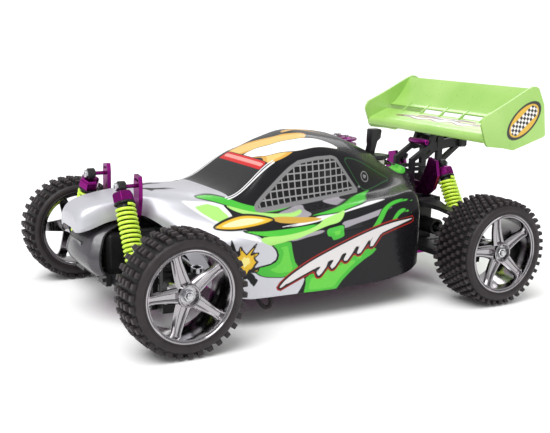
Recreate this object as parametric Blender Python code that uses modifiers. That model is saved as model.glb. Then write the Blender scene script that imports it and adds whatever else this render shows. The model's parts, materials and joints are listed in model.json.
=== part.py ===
"""A 1/10 scale four wheel drive nitro buggy, as an assembly of separate named pieces.

Lengths are millimetres in the design functions, and the mesh helpers turn them into metres.
The car points to -Y, +X is its left side and +Z is up. Every length along Y is counted from the
middle of the wheelbase, and the empty "buggy" moves the whole car so that the origin lies on the
ground under the middle of its length.

Each corner of the car is an exact parallelogram seen from the front: the lower arm, the upper arm,
the drive axle and the tie rod have the same length and slope, so the hub stays upright.
"""

import math

import bmesh
import bpy
from mathutils import Matrix, Vector

MM = 0.001

# Driving dimensions, in millimetres
WHEELBASE = 275.0
FRONT_TRACK_HALF = 112.0
REAR_TRACK_HALF = 106.0
TYRE_RADIUS = 43.0
FRONT_TYRE_WIDTH = 32.0
REAR_TYRE_WIDTH = 40.0
RIM_RADIUS = 31.5
BARREL_RADIUS = 28.4
REAR_END = 216.0
CLEARANCE = 22.0
PLATE = 2.5
GAP = 0.3
FRONT_Y = -WHEELBASE / 2
REAR_Y = WHEELBASE / 2
FRONT_END = FRONT_Y - TYRE_RADIUS
WING_HALF = 81.0

# Suspension: every link of a corner is the same length and falls by the same height
LINK_FALL = 5.0
FRONT_LINK = 56.0
REAR_LINK = 50.0
PIVOT_X = 30.0
LOWER_Z = 33.0
FRONT_UPPER_Z = 66.0
REAR_UPPER_Z = 70.0
AXLE_Z = TYRE_RADIUS + LINK_FALL
KINGPIN_OUT = 6.0
REAR_JOINT_OUT = 4.0
TIE_Z = 56.0
TIE_BACK = 20.5
STUB_END = 125.0
PIN = 1.5
PIN_BORE = 1.9

# Shocks: how far the eye is from the axle along Y, the top eye as (x, z), and the foot in the arm's frame
FRONT_SHOCK_BACK = -11.5
REAR_SHOCK_BACK = 12.0
FRONT_SHOCK_TOP = (32.5, 101.5)
REAR_SHOCK_TOP = (28.0, 101.0)
FRONT_FOOT = (37.5, 8.0)
REAR_FOOT = (37.0, 8.0)

# Where the shell is cut away
HEAD_CENTRE = (-28.0, 76.0)
NECK_CENTRE = (14.0, 87.0)
LID_Z = 107.0

COLOURS = {
    "anodised": ((0.24, 0.02, 0.22), 0.28, 0.9),
    "black_plastic": ((0.015, 0.015, 0.017), 0.45, 0.0),
    "grey_plastic": ((0.06, 0.055, 0.065), 0.4, 0.0),
    "rubber": ((0.03, 0.027, 0.03), 0.75, 0.0),
    "chrome": ((0.75, 0.75, 0.78), 0.12, 1.0),
    "steel": ((0.45, 0.45, 0.47), 0.3, 1.0),
    "cast_alloy": ((0.5, 0.5, 0.5), 0.5, 0.8),
    "spring_lime": ((0.62, 0.9, 0.05), 0.35, 0.0),
    "wing_green": ((0.25, 0.85, 0.12), 0.3, 0.0),
    "body_paint": ((0.06, 0.5, 0.06), 0.15, 0.0),
    "tank_plastic": ((0.75, 0.72, 0.65), 0.4, 0.0),
}

for leftover in list(bpy.data.objects):
    bpy.data.objects.remove(leftover)

parts = bpy.data.collections.new("rc_buggy")
bpy.context.scene.collection.children.link(parts)


# ---------------------------------------------------------------- helpers


def material(name):
    """The Principled material of that name, made once."""
    found = bpy.data.materials.get(name)
    if found:
        return found
    colour, roughness, metallic = COLOURS[name]
    made = bpy.data.materials.new(name)
    made.use_nodes = True
    made.diffuse_color = (*colour, 1.0)
    shader = made.node_tree.nodes["Principled BSDF"]
    shader.inputs["Base Color"].default_value = (*colour, 1.0)
    shader.inputs["Roughness"].default_value = roughness
    shader.inputs["Metallic"].default_value = metallic
    return made


def object_of(bm, name="scratch"):
    """A new object in the parts collection that holds the bmesh, turned from millimetres to metres."""
    bmesh.ops.scale(bm, vec=(MM, MM, MM), verts=bm.verts)
    bmesh.ops.recalc_face_normals(bm, faces=bm.faces)
    mesh = bpy.data.meshes.new(name)
    bm.to_mesh(mesh)
    bm.free()
    made = bpy.data.objects.new(name, mesh)
    parts.objects.link(made)
    return made


def box(low, high, bevel=0.0):
    """A block between two corners, with its edges rounded by bevel."""
    low, high = Vector(low), Vector(high)
    size = high - low
    bm = bmesh.new()
    bmesh.ops.create_cube(bm, size=1.0)
    bmesh.ops.scale(bm, vec=size, verts=bm.verts)
    bmesh.ops.translate(bm, vec=(low + high) / 2, verts=bm.verts)
    if bevel:
        bmesh.ops.bevel(bm, geom=bm.edges[:], offset=bevel, segments=1, affect="EDGES")
    return object_of(bm)


def turn_to(axis):
    """The rotation that carries +Z to that axis."""
    return Vector((0, 0, 1)).rotation_difference(Vector(axis)).to_matrix().to_4x4()


def cylinder(start, end, radius, sides=12, end_radius=None):
    """A cylinder, or a cone, from one point to another."""
    start, end = Vector(start), Vector(end)
    top = radius if end_radius is None else end_radius
    bm = bmesh.new()
    bmesh.ops.create_cone(
        bm, cap_ends=True, segments=sides, radius1=radius, radius2=top, depth=(end - start).length
    )
    bmesh.ops.transform(bm, matrix=turn_to(end - start), verts=bm.verts)
    bmesh.ops.translate(bm, vec=(start + end) / 2, verts=bm.verts)
    return object_of(bm)


def ball(centre, radius, sides=8):
    bm = bmesh.new()
    bmesh.ops.create_uvsphere(bm, u_segments=sides, v_segments=sides // 2, radius=radius)
    bmesh.ops.translate(bm, vec=centre, verts=bm.verts)
    return object_of(bm)


def evaluated_mesh(obj):
    graph = bpy.context.evaluated_depsgraph_get()
    return bpy.data.meshes.new_from_object(obj.evaluated_get(graph), depsgraph=graph)


def plate(outline, thickness, plane="XY", level=0.0, holes=()):
    """A flat outline, given thickness. Its middle plane lies at level along the third axis.

    The outline's two numbers run along the plane's axes, and each hole is (a, b, radius)."""
    curve = bpy.data.curves.new("outline", "CURVE")
    curve.dimensions = "2D"
    curve.fill_mode = "BOTH"
    curve.extrude = thickness / 2 * MM
    rings = [list(outline)]
    for a, b, radius in holes:
        turns = [2 * math.pi * k / 12 for k in range(12)]
        rings.append([(a + radius * math.cos(t), b + radius * math.sin(t)) for t in turns])
    for ring in rings:
        spline = curve.splines.new("POLY")
        spline.points.add(len(ring) - 1)
        for point, (a, b) in zip(spline.points, ring):
            point.co = (a * MM, b * MM, 0, 1)
        spline.use_cyclic_u = True
    drawn = bpy.data.objects.new("outline", curve)
    parts.objects.link(drawn)
    mesh = evaluated_mesh(drawn)
    bpy.data.objects.remove(drawn)
    frames = {
        "XY": Matrix(((1, 0, 0, 0), (0, 1, 0, 0), (0, 0, 1, level * MM), (0, 0, 0, 1))),
        "XZ": Matrix(((1, 0, 0, 0), (0, 0, -1, level * MM), (0, 1, 0, 0), (0, 0, 0, 1))),
        "YZ": Matrix(((0, 0, 1, level * MM), (1, 0, 0, 0), (0, 1, 0, 0), (0, 0, 0, 1))),
    }
    mesh.transform(frames[plane])
    bm = bmesh.new()
    bm.from_mesh(mesh)
    bmesh.ops.remove_doubles(bm, verts=bm.verts, dist=1e-6)
    bmesh.ops.recalc_face_normals(bm, faces=bm.faces)
    bm.to_mesh(mesh)
    bm.free()
    made = bpy.data.objects.new("plate", mesh)
    parts.objects.link(made)
    return made


def turned(profile, axis, sides=24):
    """A profile of (along, radius) points, turned about the axis with a Screw modifier.

    A profile that starts and ends on the axis makes a solid; any other is closed into a ring."""
    bm = bmesh.new()
    verts = [bm.verts.new((radius, 0, along)) for along, radius in profile]
    for a, b in zip(verts, verts[1:]):
        bm.edges.new((a, b))
    if profile[0][1] > 0:
        bm.edges.new((verts[-1], verts[0]))
    bmesh.ops.scale(bm, vec=(MM, MM, MM), verts=bm.verts)
    mesh = bpy.data.meshes.new("profile")
    bm.to_mesh(mesh)
    bm.free()
    made = bpy.data.objects.new("profile", mesh)
    parts.objects.link(made)
    screw = made.modifiers.new("turn", "SCREW")
    screw.axis = "Z"
    screw.angle = 2 * math.pi
    screw.steps = screw.render_steps = sides
    screw.use_merge_vertices = True
    screw.merge_threshold = 1e-6
    solid = evaluated_mesh(made)
    made.modifiers.clear()
    bm = bmesh.new()
    bm.from_mesh(solid)
    bmesh.ops.remove_doubles(bm, verts=bm.verts, dist=1e-6)
    bmesh.ops.recalc_face_normals(bm, faces=bm.faces)
    bm.to_mesh(solid)
    bm.free()
    solid.transform(turn_to(axis))
    made.data = solid
    return made


def tube(points, radius, resolution=2):
    """A round bar along a line of points."""
    curve = bpy.data.curves.new("line", "CURVE")
    curve.dimensions = "3D"
    curve.bevel_depth = radius * MM
    curve.bevel_resolution = resolution
    curve.use_fill_caps = True
    spline = curve.splines.new("POLY")
    spline.points.add(len(points) - 1)
    for point, place in zip(spline.points, points):
        point.co = (*(Vector(place) * MM), 1)
    drawn = bpy.data.objects.new("line", curve)
    parts.objects.link(drawn)
    mesh = evaluated_mesh(drawn)
    bpy.data.objects.remove(drawn)
    bm = bmesh.new()
    bm.from_mesh(mesh)
    bmesh.ops.remove_doubles(bm, verts=bm.verts, dist=1e-6)
    bmesh.ops.recalc_face_normals(bm, faces=bm.faces)
    bm.to_mesh(mesh)
    bm.free()
    made = bpy.data.objects.new("tube", mesh)
    parts.objects.link(made)
    return made


def boolean(target, others, operation):
    """Joins the others to the target, or cuts them from it, and removes them."""
    for other in others:
        modifier = target.modifiers.new(operation.lower(), "BOOLEAN")
        modifier.operation = operation
        modifier.object = other
    mesh = evaluated_mesh(target)
    target.modifiers.clear()
    target.data = mesh
    for other in others:
        bpy.data.objects.remove(other)
    return target


def join(target, *others):
    return boolean(target, others, "UNION")


def cut(target, *others):
    return boolean(target, others, "DIFFERENCE")


car = bpy.data.objects.new("buggy", None)
car.location = (0, -(FRONT_END + REAR_END) / 2 * MM, 0)
parts.objects.link(car)


def piece(obj, name, finish, place=(0, 0, 0), tilt=0.0, side=1):
    """Names a finished solid, gives it its material and puts its own origin at place.

    Pieces are drawn for the left side, in a frame whose +X points outwards. tilt turns the piece about
    Y, in radians, and side -1 makes its mirror image on the right."""
    obj.name = obj.data.name = name
    if side < 0:
        obj.data.transform(Matrix.Scale(-1, 4, (1, 0, 0)))
        obj.data.flip_normals()
    obj.data.materials.clear()
    obj.data.materials.append(material(finish))
    obj.data.shade_smooth()
    obj.data.set_sharp_from_angle(angle=math.radians(35))
    obj.parent = car
    at = Matrix.Translation(Vector((side * place[0], place[1], place[2])) * MM)
    obj.matrix_local = at @ Matrix.Rotation(side * tilt, 4, "Y")
    return obj


# ---------------------------------------------------------------- chassis and structure


def chassis_plate():
    main = plate(
        [(-22, -112), (22, -112), (45, -88), (45, 92), (26, 112), (24, 154), (-24, 154), (-26, 112),
         (-45, 92), (-45, -88)],
        PLATE, "XY", CLEARANCE + PLATE / 2,
        [(0, 0, 8), (18, -60, 6), (-18, -60, 6), (0, 60, 7)],
    )
    nose = plate([(-22, 0), (22, 0), (22, 46), (17, 51), (-17, 51), (-22, 46)], PLATE)
    kick = math.radians(6)
    nose.data.transform(Matrix.Rotation(kick, 4, "X"))
    nose.data.transform(Matrix.Rotation(math.pi, 4, "Z"))
    nose.data.transform(Matrix.Translation(Vector((0, -104, CLEARANCE + PLATE / 2)) * MM))
    return piece(join(main, nose), "chassis_plate", "anodised")


def shield(rows, columns):
    """The open surface of the bumper: each row is (height, y on the centre line, half width, bow)."""
    bm = bmesh.new()
    grid = []
    for height, y, half, bow in rows:
        shares = [2 * k / (columns - 1) - 1 for k in range(columns)]
        grid.append([bm.verts.new((half * s, y + bow * s * s, height)) for s in shares])
    for low, high in zip(grid, grid[1:]):
        for k in range(columns - 1):
            bm.faces.new((low[k], low[k + 1], high[k + 1], high[k]))
    return object_of(bm)


def front_bumper():
    rows = [(35.5, -165.4, 30, 0), (41, -171.5, 30.5, 2), (48, -175.5, 30, 5),
            (58, -173, 27, 5), (66, -166.5, 24, 3), (72.5, -153, 23, 2)]
    made = shield(rows, 7)
    thick = made.modifiers.new("thickness", "SOLIDIFY")
    thick.thickness = 2.2 * MM
    thick.offset = 0
    made.data = evaluated_mesh(made)
    made.modifiers.clear()
    brackets = [box((-12, -174, low), (12, -157.4, low + 5)) for low in (44, 54)]
    return piece(join(made, *brackets), "front_bumper", "grey_plastic")


def gearbox(name, low_y, high_y, arm_y, floor, upper_z, upper_middle):
    """A diff case with its outdrive cups, and the hinge pins of the lower and upper arms.

    upper_middle is how far the middle of the upper pins lies behind the axle."""
    case = box((-24, low_y, floor), (24, high_y, 66), 3)
    solids = [box((-18, arm_y - 25.5, floor + 1), (18, arm_y + 25.5, floor + 8))]
    roof_middle = arm_y + upper_middle
    solids.append(box((-17, roof_middle - 14, 60), (17, roof_middle + 14, upper_z + 3)))
    cutters = []
    for side in (-1, 1):
        solids.append(cylinder((side * 19, arm_y, AXLE_Z), (side * 40.5, arm_y, AXLE_Z), 7, 12))
        cutters.append(cylinder((side * 28, arm_y, AXLE_Z), (side * 44, arm_y, AXLE_Z), 4.8, 12))
        for middle, height, reach, radius in (
            (arm_y, LOWER_Z, 24, 4), (roof_middle, upper_z, 14, 3.2)
        ):
            for way in (-1, 1):
                near, far = middle + way * (reach - 4), middle + way * reach
                xs, ys = sorted((side * 16, side * 33.5)), sorted((near, far))
                solids.append(box((xs[0], ys[0], height - radius), (xs[1], ys[1], height + radius)))
            ends = [(side * PIVOT_X, middle + way * (reach + 2), height) for way in (-1, 1)]
            solids.append(cylinder(*ends, PIN, 8))
    return piece(cut(join(case, *solids), *cutters), name, "black_plastic")


def shock_tower(name, half, y, back, top, holes):
    """An anodised plate across the car, with a stud for each shock that reaches back along Y."""
    outline = half + [(-x, z) for x, z in reversed(half)]
    studs = [cylinder((side * top[0], y, top[1]), (side * top[0], back, top[1]), PIN, 8) for side in (-1, 1)]
    drills = [
        cylinder((side * x, y - 5, z), (side * x, y + 5, z), 1.2, 8)
        for side in (-1, 1)
        for x, z in holes
    ]
    return piece(cut(join(plate(outline, 3.0, "XZ", y), *studs), *drills), name, "anodised")


def front_shock_tower():
    half = [(24, 69.4), (30, 72), (35, 80), (37.5, 92), (37.5, 102), (36.5, 108.5), (28.5, 109.5),
            (27.2, 104), (27.5, 86), (27.2, 76.2), (18, 76.2), (14, 82)]
    holes = ((30.2, 106), (32.8, 105.8), (35.4, 105.4))
    return shock_tower(
        "front_shock_tower", half, FRONT_Y + 1.5, FRONT_Y + FRONT_SHOCK_BACK - 4, FRONT_SHOCK_TOP, holes
    )


def rear_shock_tower():
    half = [(24, 73.4), (33, 80), (37, 92), (34, 105), (24, 107), (20, 96), (14, 84)]
    holes = ((32.5, 94), (18, 79), (9, 79))
    return shock_tower(
        "rear_shock_tower", half, REAR_Y + 1.8, REAR_Y + REAR_SHOCK_BACK + 4, REAR_SHOCK_TOP, holes
    )


def strut(a, b, width, x_low, x_high):
    """A flat bar in the YZ plane from a to b, between two places along X."""
    a, b = Vector(a), Vector(b)
    along = (b - a).normalized()
    across = Vector((-along.y, along.x)) * width / 2
    ends = (a - along * width * 0.3, b + along * width * 0.3)
    outline = [ends[0] - across, ends[1] - across, ends[1] + across, ends[0] + across]
    return plate([tuple(p) for p in outline], x_high - x_low, "YZ", (x_low + x_high) / 2)


def wing_mount():
    """Two truss frames that stand behind the rear tower and carry the wing."""
    bars = []
    for side in (-1, 1):
        low, high = sorted((side * 9, side * 13))
        for a, b, width in (
            ((130, 103), (152, 117), 4), ((130, 78), (130, 103), 4.5), ((150, 114), (186, 119), 8),
            ((159.5, 84), (159.5, 122), 5.5), ((162, 101), (180, 114), 4), ((131, 95), (160, 95), 3),
            ((150, 116), (153, 124), 5),
        ):
            bars.append(strut(a, b, width, low, high))
    cross = [
        box((-13.5, 152.5, 80), (13.5, 161, 87)), box((-17, 179, 113), (17, 188, 124), 1.5),
        box((-13.5, 156, 113), (13.5, 163, 123)), box((-13.5, 127.5, 73.4), (13.5, 132.5, 79)),
    ]
    return piece(join(bars[0], *bars[1:], *cross), "wing_mount", "black_plastic")


def wing():
    """Two spanwise blades with a slot between them, closed by two end plates."""
    main = [(147.5, 125.5), (149, 125.5), (150, 131), (158, 133.6), (169, 138.5), (170, 140.8), (157, 136),
            (148.5, 133.2), (147, 130)]
    flap = [(173, 142.5), (178, 144.5), (184, 150), (190, 158), (197, 169), (195.3, 170), (188, 160),
            (182, 152.5), (176.5, 147), (172.5, 144.8)]
    tip = [(202, 171), (205, 169.5), (212, 156), (REAR_END, 129), (180, 118), (168, 120.5), (150, 122.5),
           (143, 141), (146, 147), (170, 158), (190, 168), (198, 171.5)]
    blades = [plate(outline, 2 * WING_HALF, "YZ") for outline in (main, flap)]
    tips = [plate(tip, 2.2, "YZ", side * (WING_HALF + 0.5)) for side in (-1, 1)]
    ribs = [
        plate([(160, 134.5), (170, 139), (180, 147.5), (177, 147.8), (169, 141.5)], 2.0, "YZ", x)
        for x in (-40, -13, 13, 40)
    ]
    return piece(join(tips[0], tips[1], *blades, *ribs), "wing", "wing_green")


# ---------------------------------------------------------------- body shell

# Each station is (y, seven (x, z) points from the centre line down to the lower edge).
BODY_STATIONS = [
    (-179, [(0, 76), (3, 76), (6.5, 75.4), (8.5, 74), (9, 72.5), (8.5, 71), (8, 70)]),
    (-178, [(0, 80), (8, 79.5), (14, 77.5), (16.5, 75), (17, 72), (16.5, 69), (15.5, 67)]),
    (-172, [(0, 86), (10, 85.5), (17.5, 83.5), (20.5, 80), (21.5, 76), (21.5, 72), (20.5, 68.5)]),
    (-155, [(0, 90.5), (13, 90), (20.5, 88), (23, 84), (24, 80.5), (24.5, 77.5), (24.5, 75)]),
    (-132, [(0, 93.5), (14, 93), (21.5, 91), (24, 87), (25, 83.5), (25.5, 80.5), (25.5, 78)]),
    (-122, [(0, 94.5), (16, 94), (25, 91.5), (30, 87), (34, 82), (37, 77), (38, 73)]),
    (-110, [(0, 94.5), (18, 94), (30, 91), (40, 84.5), (50, 76.5), (57, 66), (57.5, 53)]),
    (-97, [(0, 94), (21, 93.3), (35, 90.5), (47, 83.5), (60, 74.5), (69, 62), (70, 30)]),
    (-84, [(0, 93), (24, 92.3), (41, 89), (53, 82.5), (68, 73), (79, 60), (80, 24)]),
    (-68, [(0, 91.8), (24, 91.6), (45, 90), (57, 82), (73, 73), (84, 60), (85, 21.5)]),
    (-27, [(0, 115.5), (22, 115.3), (37.5, 113.5), (60, 83), (76, 77), (87, 62), (87, 21.5)]),
    (-4, [(0, 127.5), (23, 125.8), (41, 118.5), (60, 84.5), (76, 79.5), (88, 63), (88, 21.5)]),
    (17, [(0, 133.2), (23, 131), (42, 121.5), (60, 86), (76, 81.5), (88, 64), (88, 21.5)]),
    (42, [(0, 130.3), (23, 127.8), (41, 117), (59, 87), (75, 84), (87, 65), (87, 22)]),
    (66, [(0, 121.5), (21, 118.5), (38, 107.5), (56, 88), (73, 87), (85, 67), (86, 25)]),
    (84, [(0, 113), (18, 111), (34, 101), (52, 90), (69, 89.5), (81, 70), (81, 31)]),
    (94, [(0, 109), (16, 107.5), (30, 99.5), (46, 91.5), (60, 88.5), (67, 76), (65, 54)]),
    (104, [(0, 104.5), (14, 103.5), (26, 98), (38, 92.5), (46, 87), (48, 79), (46, 70)]),
    (118, [(0, 99.5), (12, 99), (22, 96), (26, 90), (28, 84), (29, 79), (29, 75)]),
    (122, [(0, 98), (11.5, 97.5), (21, 94.5), (25, 89), (27, 84), (27.5, 80), (27.5, 76)]),
]


def body_shell():
    """The left half is lofted through the stations, mirrored, given its thickness and cut."""
    bm = bmesh.new()
    rows = [[bm.verts.new((x, y, z)) for x, z in points] for y, points in BODY_STATIONS]
    for near, far in zip(rows, rows[1:]):
        for k in range(len(near) - 1):
            bm.faces.new((near[k], near[k + 1], far[k + 1], far[k]))
    chin = bm.verts.new((0, BODY_STATIONS[0][0], BODY_STATIONS[0][1][-1][1]))
    bm.faces.new(rows[0] + [chin])
    shell = object_of(bm)
    mirror = shell.modifiers.new("other_side", "MIRROR")
    mirror.merge_threshold = 1e-5
    thick = shell.modifiers.new("thickness", "SOLIDIFY")
    thick.thickness = 1.2 * MM
    thick.offset = -1
    shell.data = evaluated_mesh(shell)
    shell.modifiers.clear()
    holes = [
        cylinder((*HEAD_CENTRE, 88), (*HEAD_CENTRE, 150), 20, 18),
        cylinder((*NECK_CENTRE, 88), (*NECK_CENTRE, 150), 14.5, 14),
    ]
    return piece(cut(shell, *holes), "body_shell", "body_paint")


# ---------------------------------------------------------------- engine and electrics


def engine_block():
    """Crankcase with its shaft along the car, the cylinder on top and the carburettor in front."""
    x, y = HEAD_CENTRE
    case = cylinder((x, y - 22, AXLE_Z), (x, y + 16, AXLE_Z), 13.5, 14)
    solids = [
        box((x - 14, y - 15, CLEARANCE + PLATE + GAP), (x + 14, y + 12, 42)),
        cylinder((x, y, AXLE_Z), (x, y, 98), 12.5, 14),
        cylinder((x, y - 27, AXLE_Z), (x, y - 27, 70), 5.5, 10),
        cylinder((x, y - 34, AXLE_Z), (x, y - 18, AXLE_Z), 6.5, 10),
        cylinder((x, y, 72), (x - 19.4, y, 72), 5.5, 10),
    ]
    return piece(join(case, *solids), "engine_block", "cast_alloy")


def cooling_head():
    """A round head with cooling fins, turned about its own upright axis."""
    profile = [(0, 0), (0, 13.5)]
    for fin in range(5):
        low = 2 + fin * 4.6
        profile += [(low, 13.5), (low, 17.5), (low + 2.3, 17.5), (low + 2.3, 13.5)]
    profile += [(23.6, 12), (23.6, 0)]
    return piece(turned(profile, (0, 0, 1), 14), "cooling_head", "anodised", (*HEAD_CENTRE, 98.6))


def air_filter():
    x, y = HEAD_CENTRE
    profile = [(0, 0), (0, 7), (3, 12), (20, 12), (23, 8), (23, 0)]
    return piece(turned(profile, (0, 0, 1), 12), "air_filter", "rubber", (x, y - 27, 70.4))


def exhaust_pipe():
    """A tuned pipe beside the engine, with a bent header that meets the exhaust port."""
    profile = [(0, 0), (0, 6), (12, 11), (60, 13), (78, 8), (92, 3), (92, 0)]
    can = turned(profile, (0, -1, 0), 12)
    header = tube([(0, -4, 0), (0, 5, 0), (0, 10, 4), (1, 12, 12), (4.5, 12.5, 19)], 4)
    return piece(join(can, header), "exhaust_pipe", "steel", (-56, HEAD_CENTRE[1] - 12.5, 53))


def fuel_tank():
    x, y = NECK_CENTRE
    neck = cylinder((x, y, 78), (x, y, LID_Z - GAP), 8.5, 12)
    solid = join(box((6, y - 20, 28), (31, y + 15, 82), 3), neck)
    return piece(solid, "fuel_tank", "tank_plastic")


def fuel_tank_lid():
    """The lid is hinged at its rear edge and carries a tall pull tab."""
    reach = 12.0
    solids = [
        box((-8, -reach, 3.2), (-3, -reach + 6, 12)),
        box((-10, -reach - 3, 11), (-2, -reach + 7.5, 25), 1.2),
        box((-4, -6, 0.4), (4, 0.8, 3.4)),
    ]
    disc = cylinder((0, -reach, 0), (0, -reach, 4), 10.5, 14)
    x, y = NECK_CENTRE
    return piece(join(disc, *solids), "fuel_tank_lid", "black_plastic", (x, y + reach, LID_Z))


def radio_box():
    return piece(box((10, -84, CLEARANCE + PLATE + GAP), (42, -22, 52), 2), "radio_box", "black_plastic")


def steering_servo():
    base = CLEARANCE + PLATE + GAP
    solids = [box((-44, -78, base), (-10, -70, base + 6)), cylinder((-20, -64, 56), (-20, -64, 66), 4, 10)]
    return piece(join(box((-40, -76, base), (-14, -42, 60), 1), *solids), "steering_servo", "black_plastic")


def centre_gearbox():
    """Two bearing blocks on a base plate, on either side of the spur gear."""
    base = CLEARANCE + PLATE + GAP
    solids = [box((-9, y, base + 1), (9, y + 8, 58)) for y in (22, 50)]
    made = join(box((-13, 20, base), (13, 60, base + 2)), *solids)
    bore = cylinder((0, 10, AXLE_Z), (0, 70, AXLE_Z), 3.4, 12)
    return piece(cut(made, bore), "centre_gearbox", "black_plastic")


def spur_gear():
    """The spur gear on the centre shafts, which run from the front gearbox to the rear one."""
    teeth = 30
    outline = []
    for tooth in range(teeth):
        for share, radius in ((0.0, 19.0), (0.5, 20.8)):
            turn = 2 * math.pi * (tooth + share) / teeth
            outline.append((radius * math.cos(turn), radius * math.sin(turn)))
    gear = plate(outline, 5, "XZ", 0)
    shafts = cylinder((0, -164.9, 0), (0, 76.4, 0), 2.5, 10)
    collar = cylinder((0, -9.5, 0), (0, 9.5, 0), 6, 10)
    return piece(join(gear, shafts, collar), "spur_gear", "steel", (0, 40, AXLE_Z))


# ---------------------------------------------------------------- corners


def fall_angle(link):
    return math.asin(LINK_FALL / link)


def in_arm(point, link):
    """The place, from the arm's pivot, of a point given in the arm's own frame as (out, up)."""
    tilt = fall_angle(link)
    out, up = point
    return (out * math.cos(tilt) + up * math.sin(tilt), up * math.cos(tilt) - out * math.sin(tilt))


def reach_of(link):
    """How far a link reaches outwards at rest."""
    return math.sqrt(link**2 - LINK_FALL**2)


def along_y(x, z, low, high, radius, sides=10):
    return cylinder((x, low, z), (x, high, z), radius, sides)


def lower_arm(end, side):
    """A flat arm: a barrel on the inner pin, a fork for the hub, and an ear for the shock's foot."""
    link, axle_y, foot, back = END[end]["link"], END[end]["y"], END[end]["foot"], END[end]["shock_back"]
    way = math.copysign(1, back)
    edge = way * (abs(back) + 4.5)
    x = foot[0]
    outline = (
        [(link - 6.5, -7.9), (link + 3.5, -7.9), (link + 3.5, -12.2), (link - 14, -12.2), (11, -19.4),
         (0, -19.4), (0, 19.4), (11, 19.4), (link - 14, 12.2), (link + 3.5, 12.2), (link + 3.5, 7.9),
         (link - 6.5, 7.9)]
    )
    solids = [
        along_y(0, 0, -19.4, 19.4, 3.8),
        along_y(link, 0, -12.2, -7.9, 3.5),
        along_y(link, 0, 7.9, 12.2, 3.5),
    ]
    shelf = sorted((way * 8, edge))
    solids.append(box((x - 6, shelf[0], -2.4), (x + 5, shelf[1], 2.4)))
    ear = sorted((back - way * 8.5, back - way * 4.5))
    solids.append(box((x - 4, ear[0], 1), (x + 4, ear[1], foot[1] + 3)))
    stud = sorted((back - way * 6, back + way * 4.5))
    solids.append(along_y(x, foot[1], stud[0], stud[1], PIN, 8))
    window = box((14, -7, -5), (link - 17, 7, 5))
    bores = [along_y(0, 0, -30, 30, PIN_BORE), along_y(link, 0, -30, 30, PIN_BORE)]
    made = cut(join(plate(outline, 4.8), *solids), window, *bores)
    place = (PIVOT_X, axle_y, LOWER_Z)
    return piece(made, f"{end}_{SIDES[side]}_lower_arm", "black_plastic", place, fall_angle(link), side)


def upper_arm(end, side):
    """A slim arm whose outer eye sits on the hub's upper pin."""
    link, axle_y, middle = END[end]["link"], END[end]["y"], END[end]["upper_middle"]
    inner = (middle - 9.6, middle + 9.6)
    outer = sorted((math.copysign(1.8, middle), math.copysign(10.8, middle)))
    outline = [(0, inner[0]), (8, inner[0]), (24, outer[0]), (link, outer[0]),
               (link, outer[1]), (24, outer[1]), (8, inner[1]), (0, inner[1])]
    solids = [along_y(0, 0, *inner, 3.2), along_y(link, 0, *outer, 3.2)]
    bores = [along_y(0, 0, -30, 40, PIN_BORE), along_y(link, 0, -30, 40, PIN_BORE)]
    made = cut(join(plate(outline, 3.6), *solids), *bores)
    place = (PIVOT_X, axle_y, END[end]["upper_z"])
    return piece(made, f"{end}_{SIDES[side]}_upper_arm", "black_plastic", place, fall_angle(link), side)


def hub_place(end):
    return (PIVOT_X + reach_of(END[end]["link"]), END[end]["y"], LOWER_Z - LINK_FALL)


def c_hub(side):
    """The front hub: a C that holds the kingpins, with pins for the lower and upper arms."""
    top = FRONT_UPPER_Z - LOWER_Z
    x = KINGPIN_OUT
    solids = [
        box((-4, -7.5, 25.6), (12, 7.5, 29.2)),
        box((-3, -7.5, 26), (3, 1.2, top + 3)),
        along_y(0, top, -7.5, 12, PIN, 8),
        along_y(0, 0, -12.4, 12.4, PIN, 8),
        cylinder((x, 0, 2), (x, 0, 7.6), 1.8, 8),
        cylinder((x, 0, 22.6), (x, 0, 28), 1.8, 8),
    ]
    for way in (-1, 1):
        ys = sorted((way * 5.2, way * 9))
        solids.append(box((-6, ys[0], 5), (-1.8, ys[1], 28)))
    solids.append(box((-6, -9, 4.1), (-1.8, 9, 7.5)))
    solids.append(box((-6, -9, 26.2), (1, 9, 28.8)))
    made = join(box((-3.6, -7.4, -3.6), (12, 7.4, 4.6)), *solids)
    return piece(made, f"front_{SIDES[side]}_hub", "black_plastic", hub_place("front"), 0, side)


def hub_carrier(side):
    """The rear hub, with the stub axle and its bearing boss in one."""
    top = REAR_UPPER_Z - LOWER_Z
    axle = AXLE_Z - LOWER_Z
    start = hub_place("rear")[0]
    solids = [
        box((-3.5, -7.5, -3.6), (3.5, 7.5, 12)),
        along_y(0, 0, -12.4, 12.4, PIN, 8),
        cylinder((2, 0, axle), (14, 0, axle), 9.5, 14),
        box((-3.5, -1.2, 18), (3.5, 7.5, top + 3)),
        along_y(0, top, -12, 7.5, PIN, 8),
        cylinder((10, 0, axle), (STUB_END - 2 - start, 0, axle), 2.5, 10),
    ]
    made = join(box((-2.8, -9, axle - 9), (9, 9, axle + 9), 1), *solids)
    made = cut(made, cylinder((-8, 0, axle), (8.5, 0, axle), 4.8, 12))
    return piece(made, f"rear_{SIDES[side]}_hub", "black_plastic", hub_place("rear"), 0, side)


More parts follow.
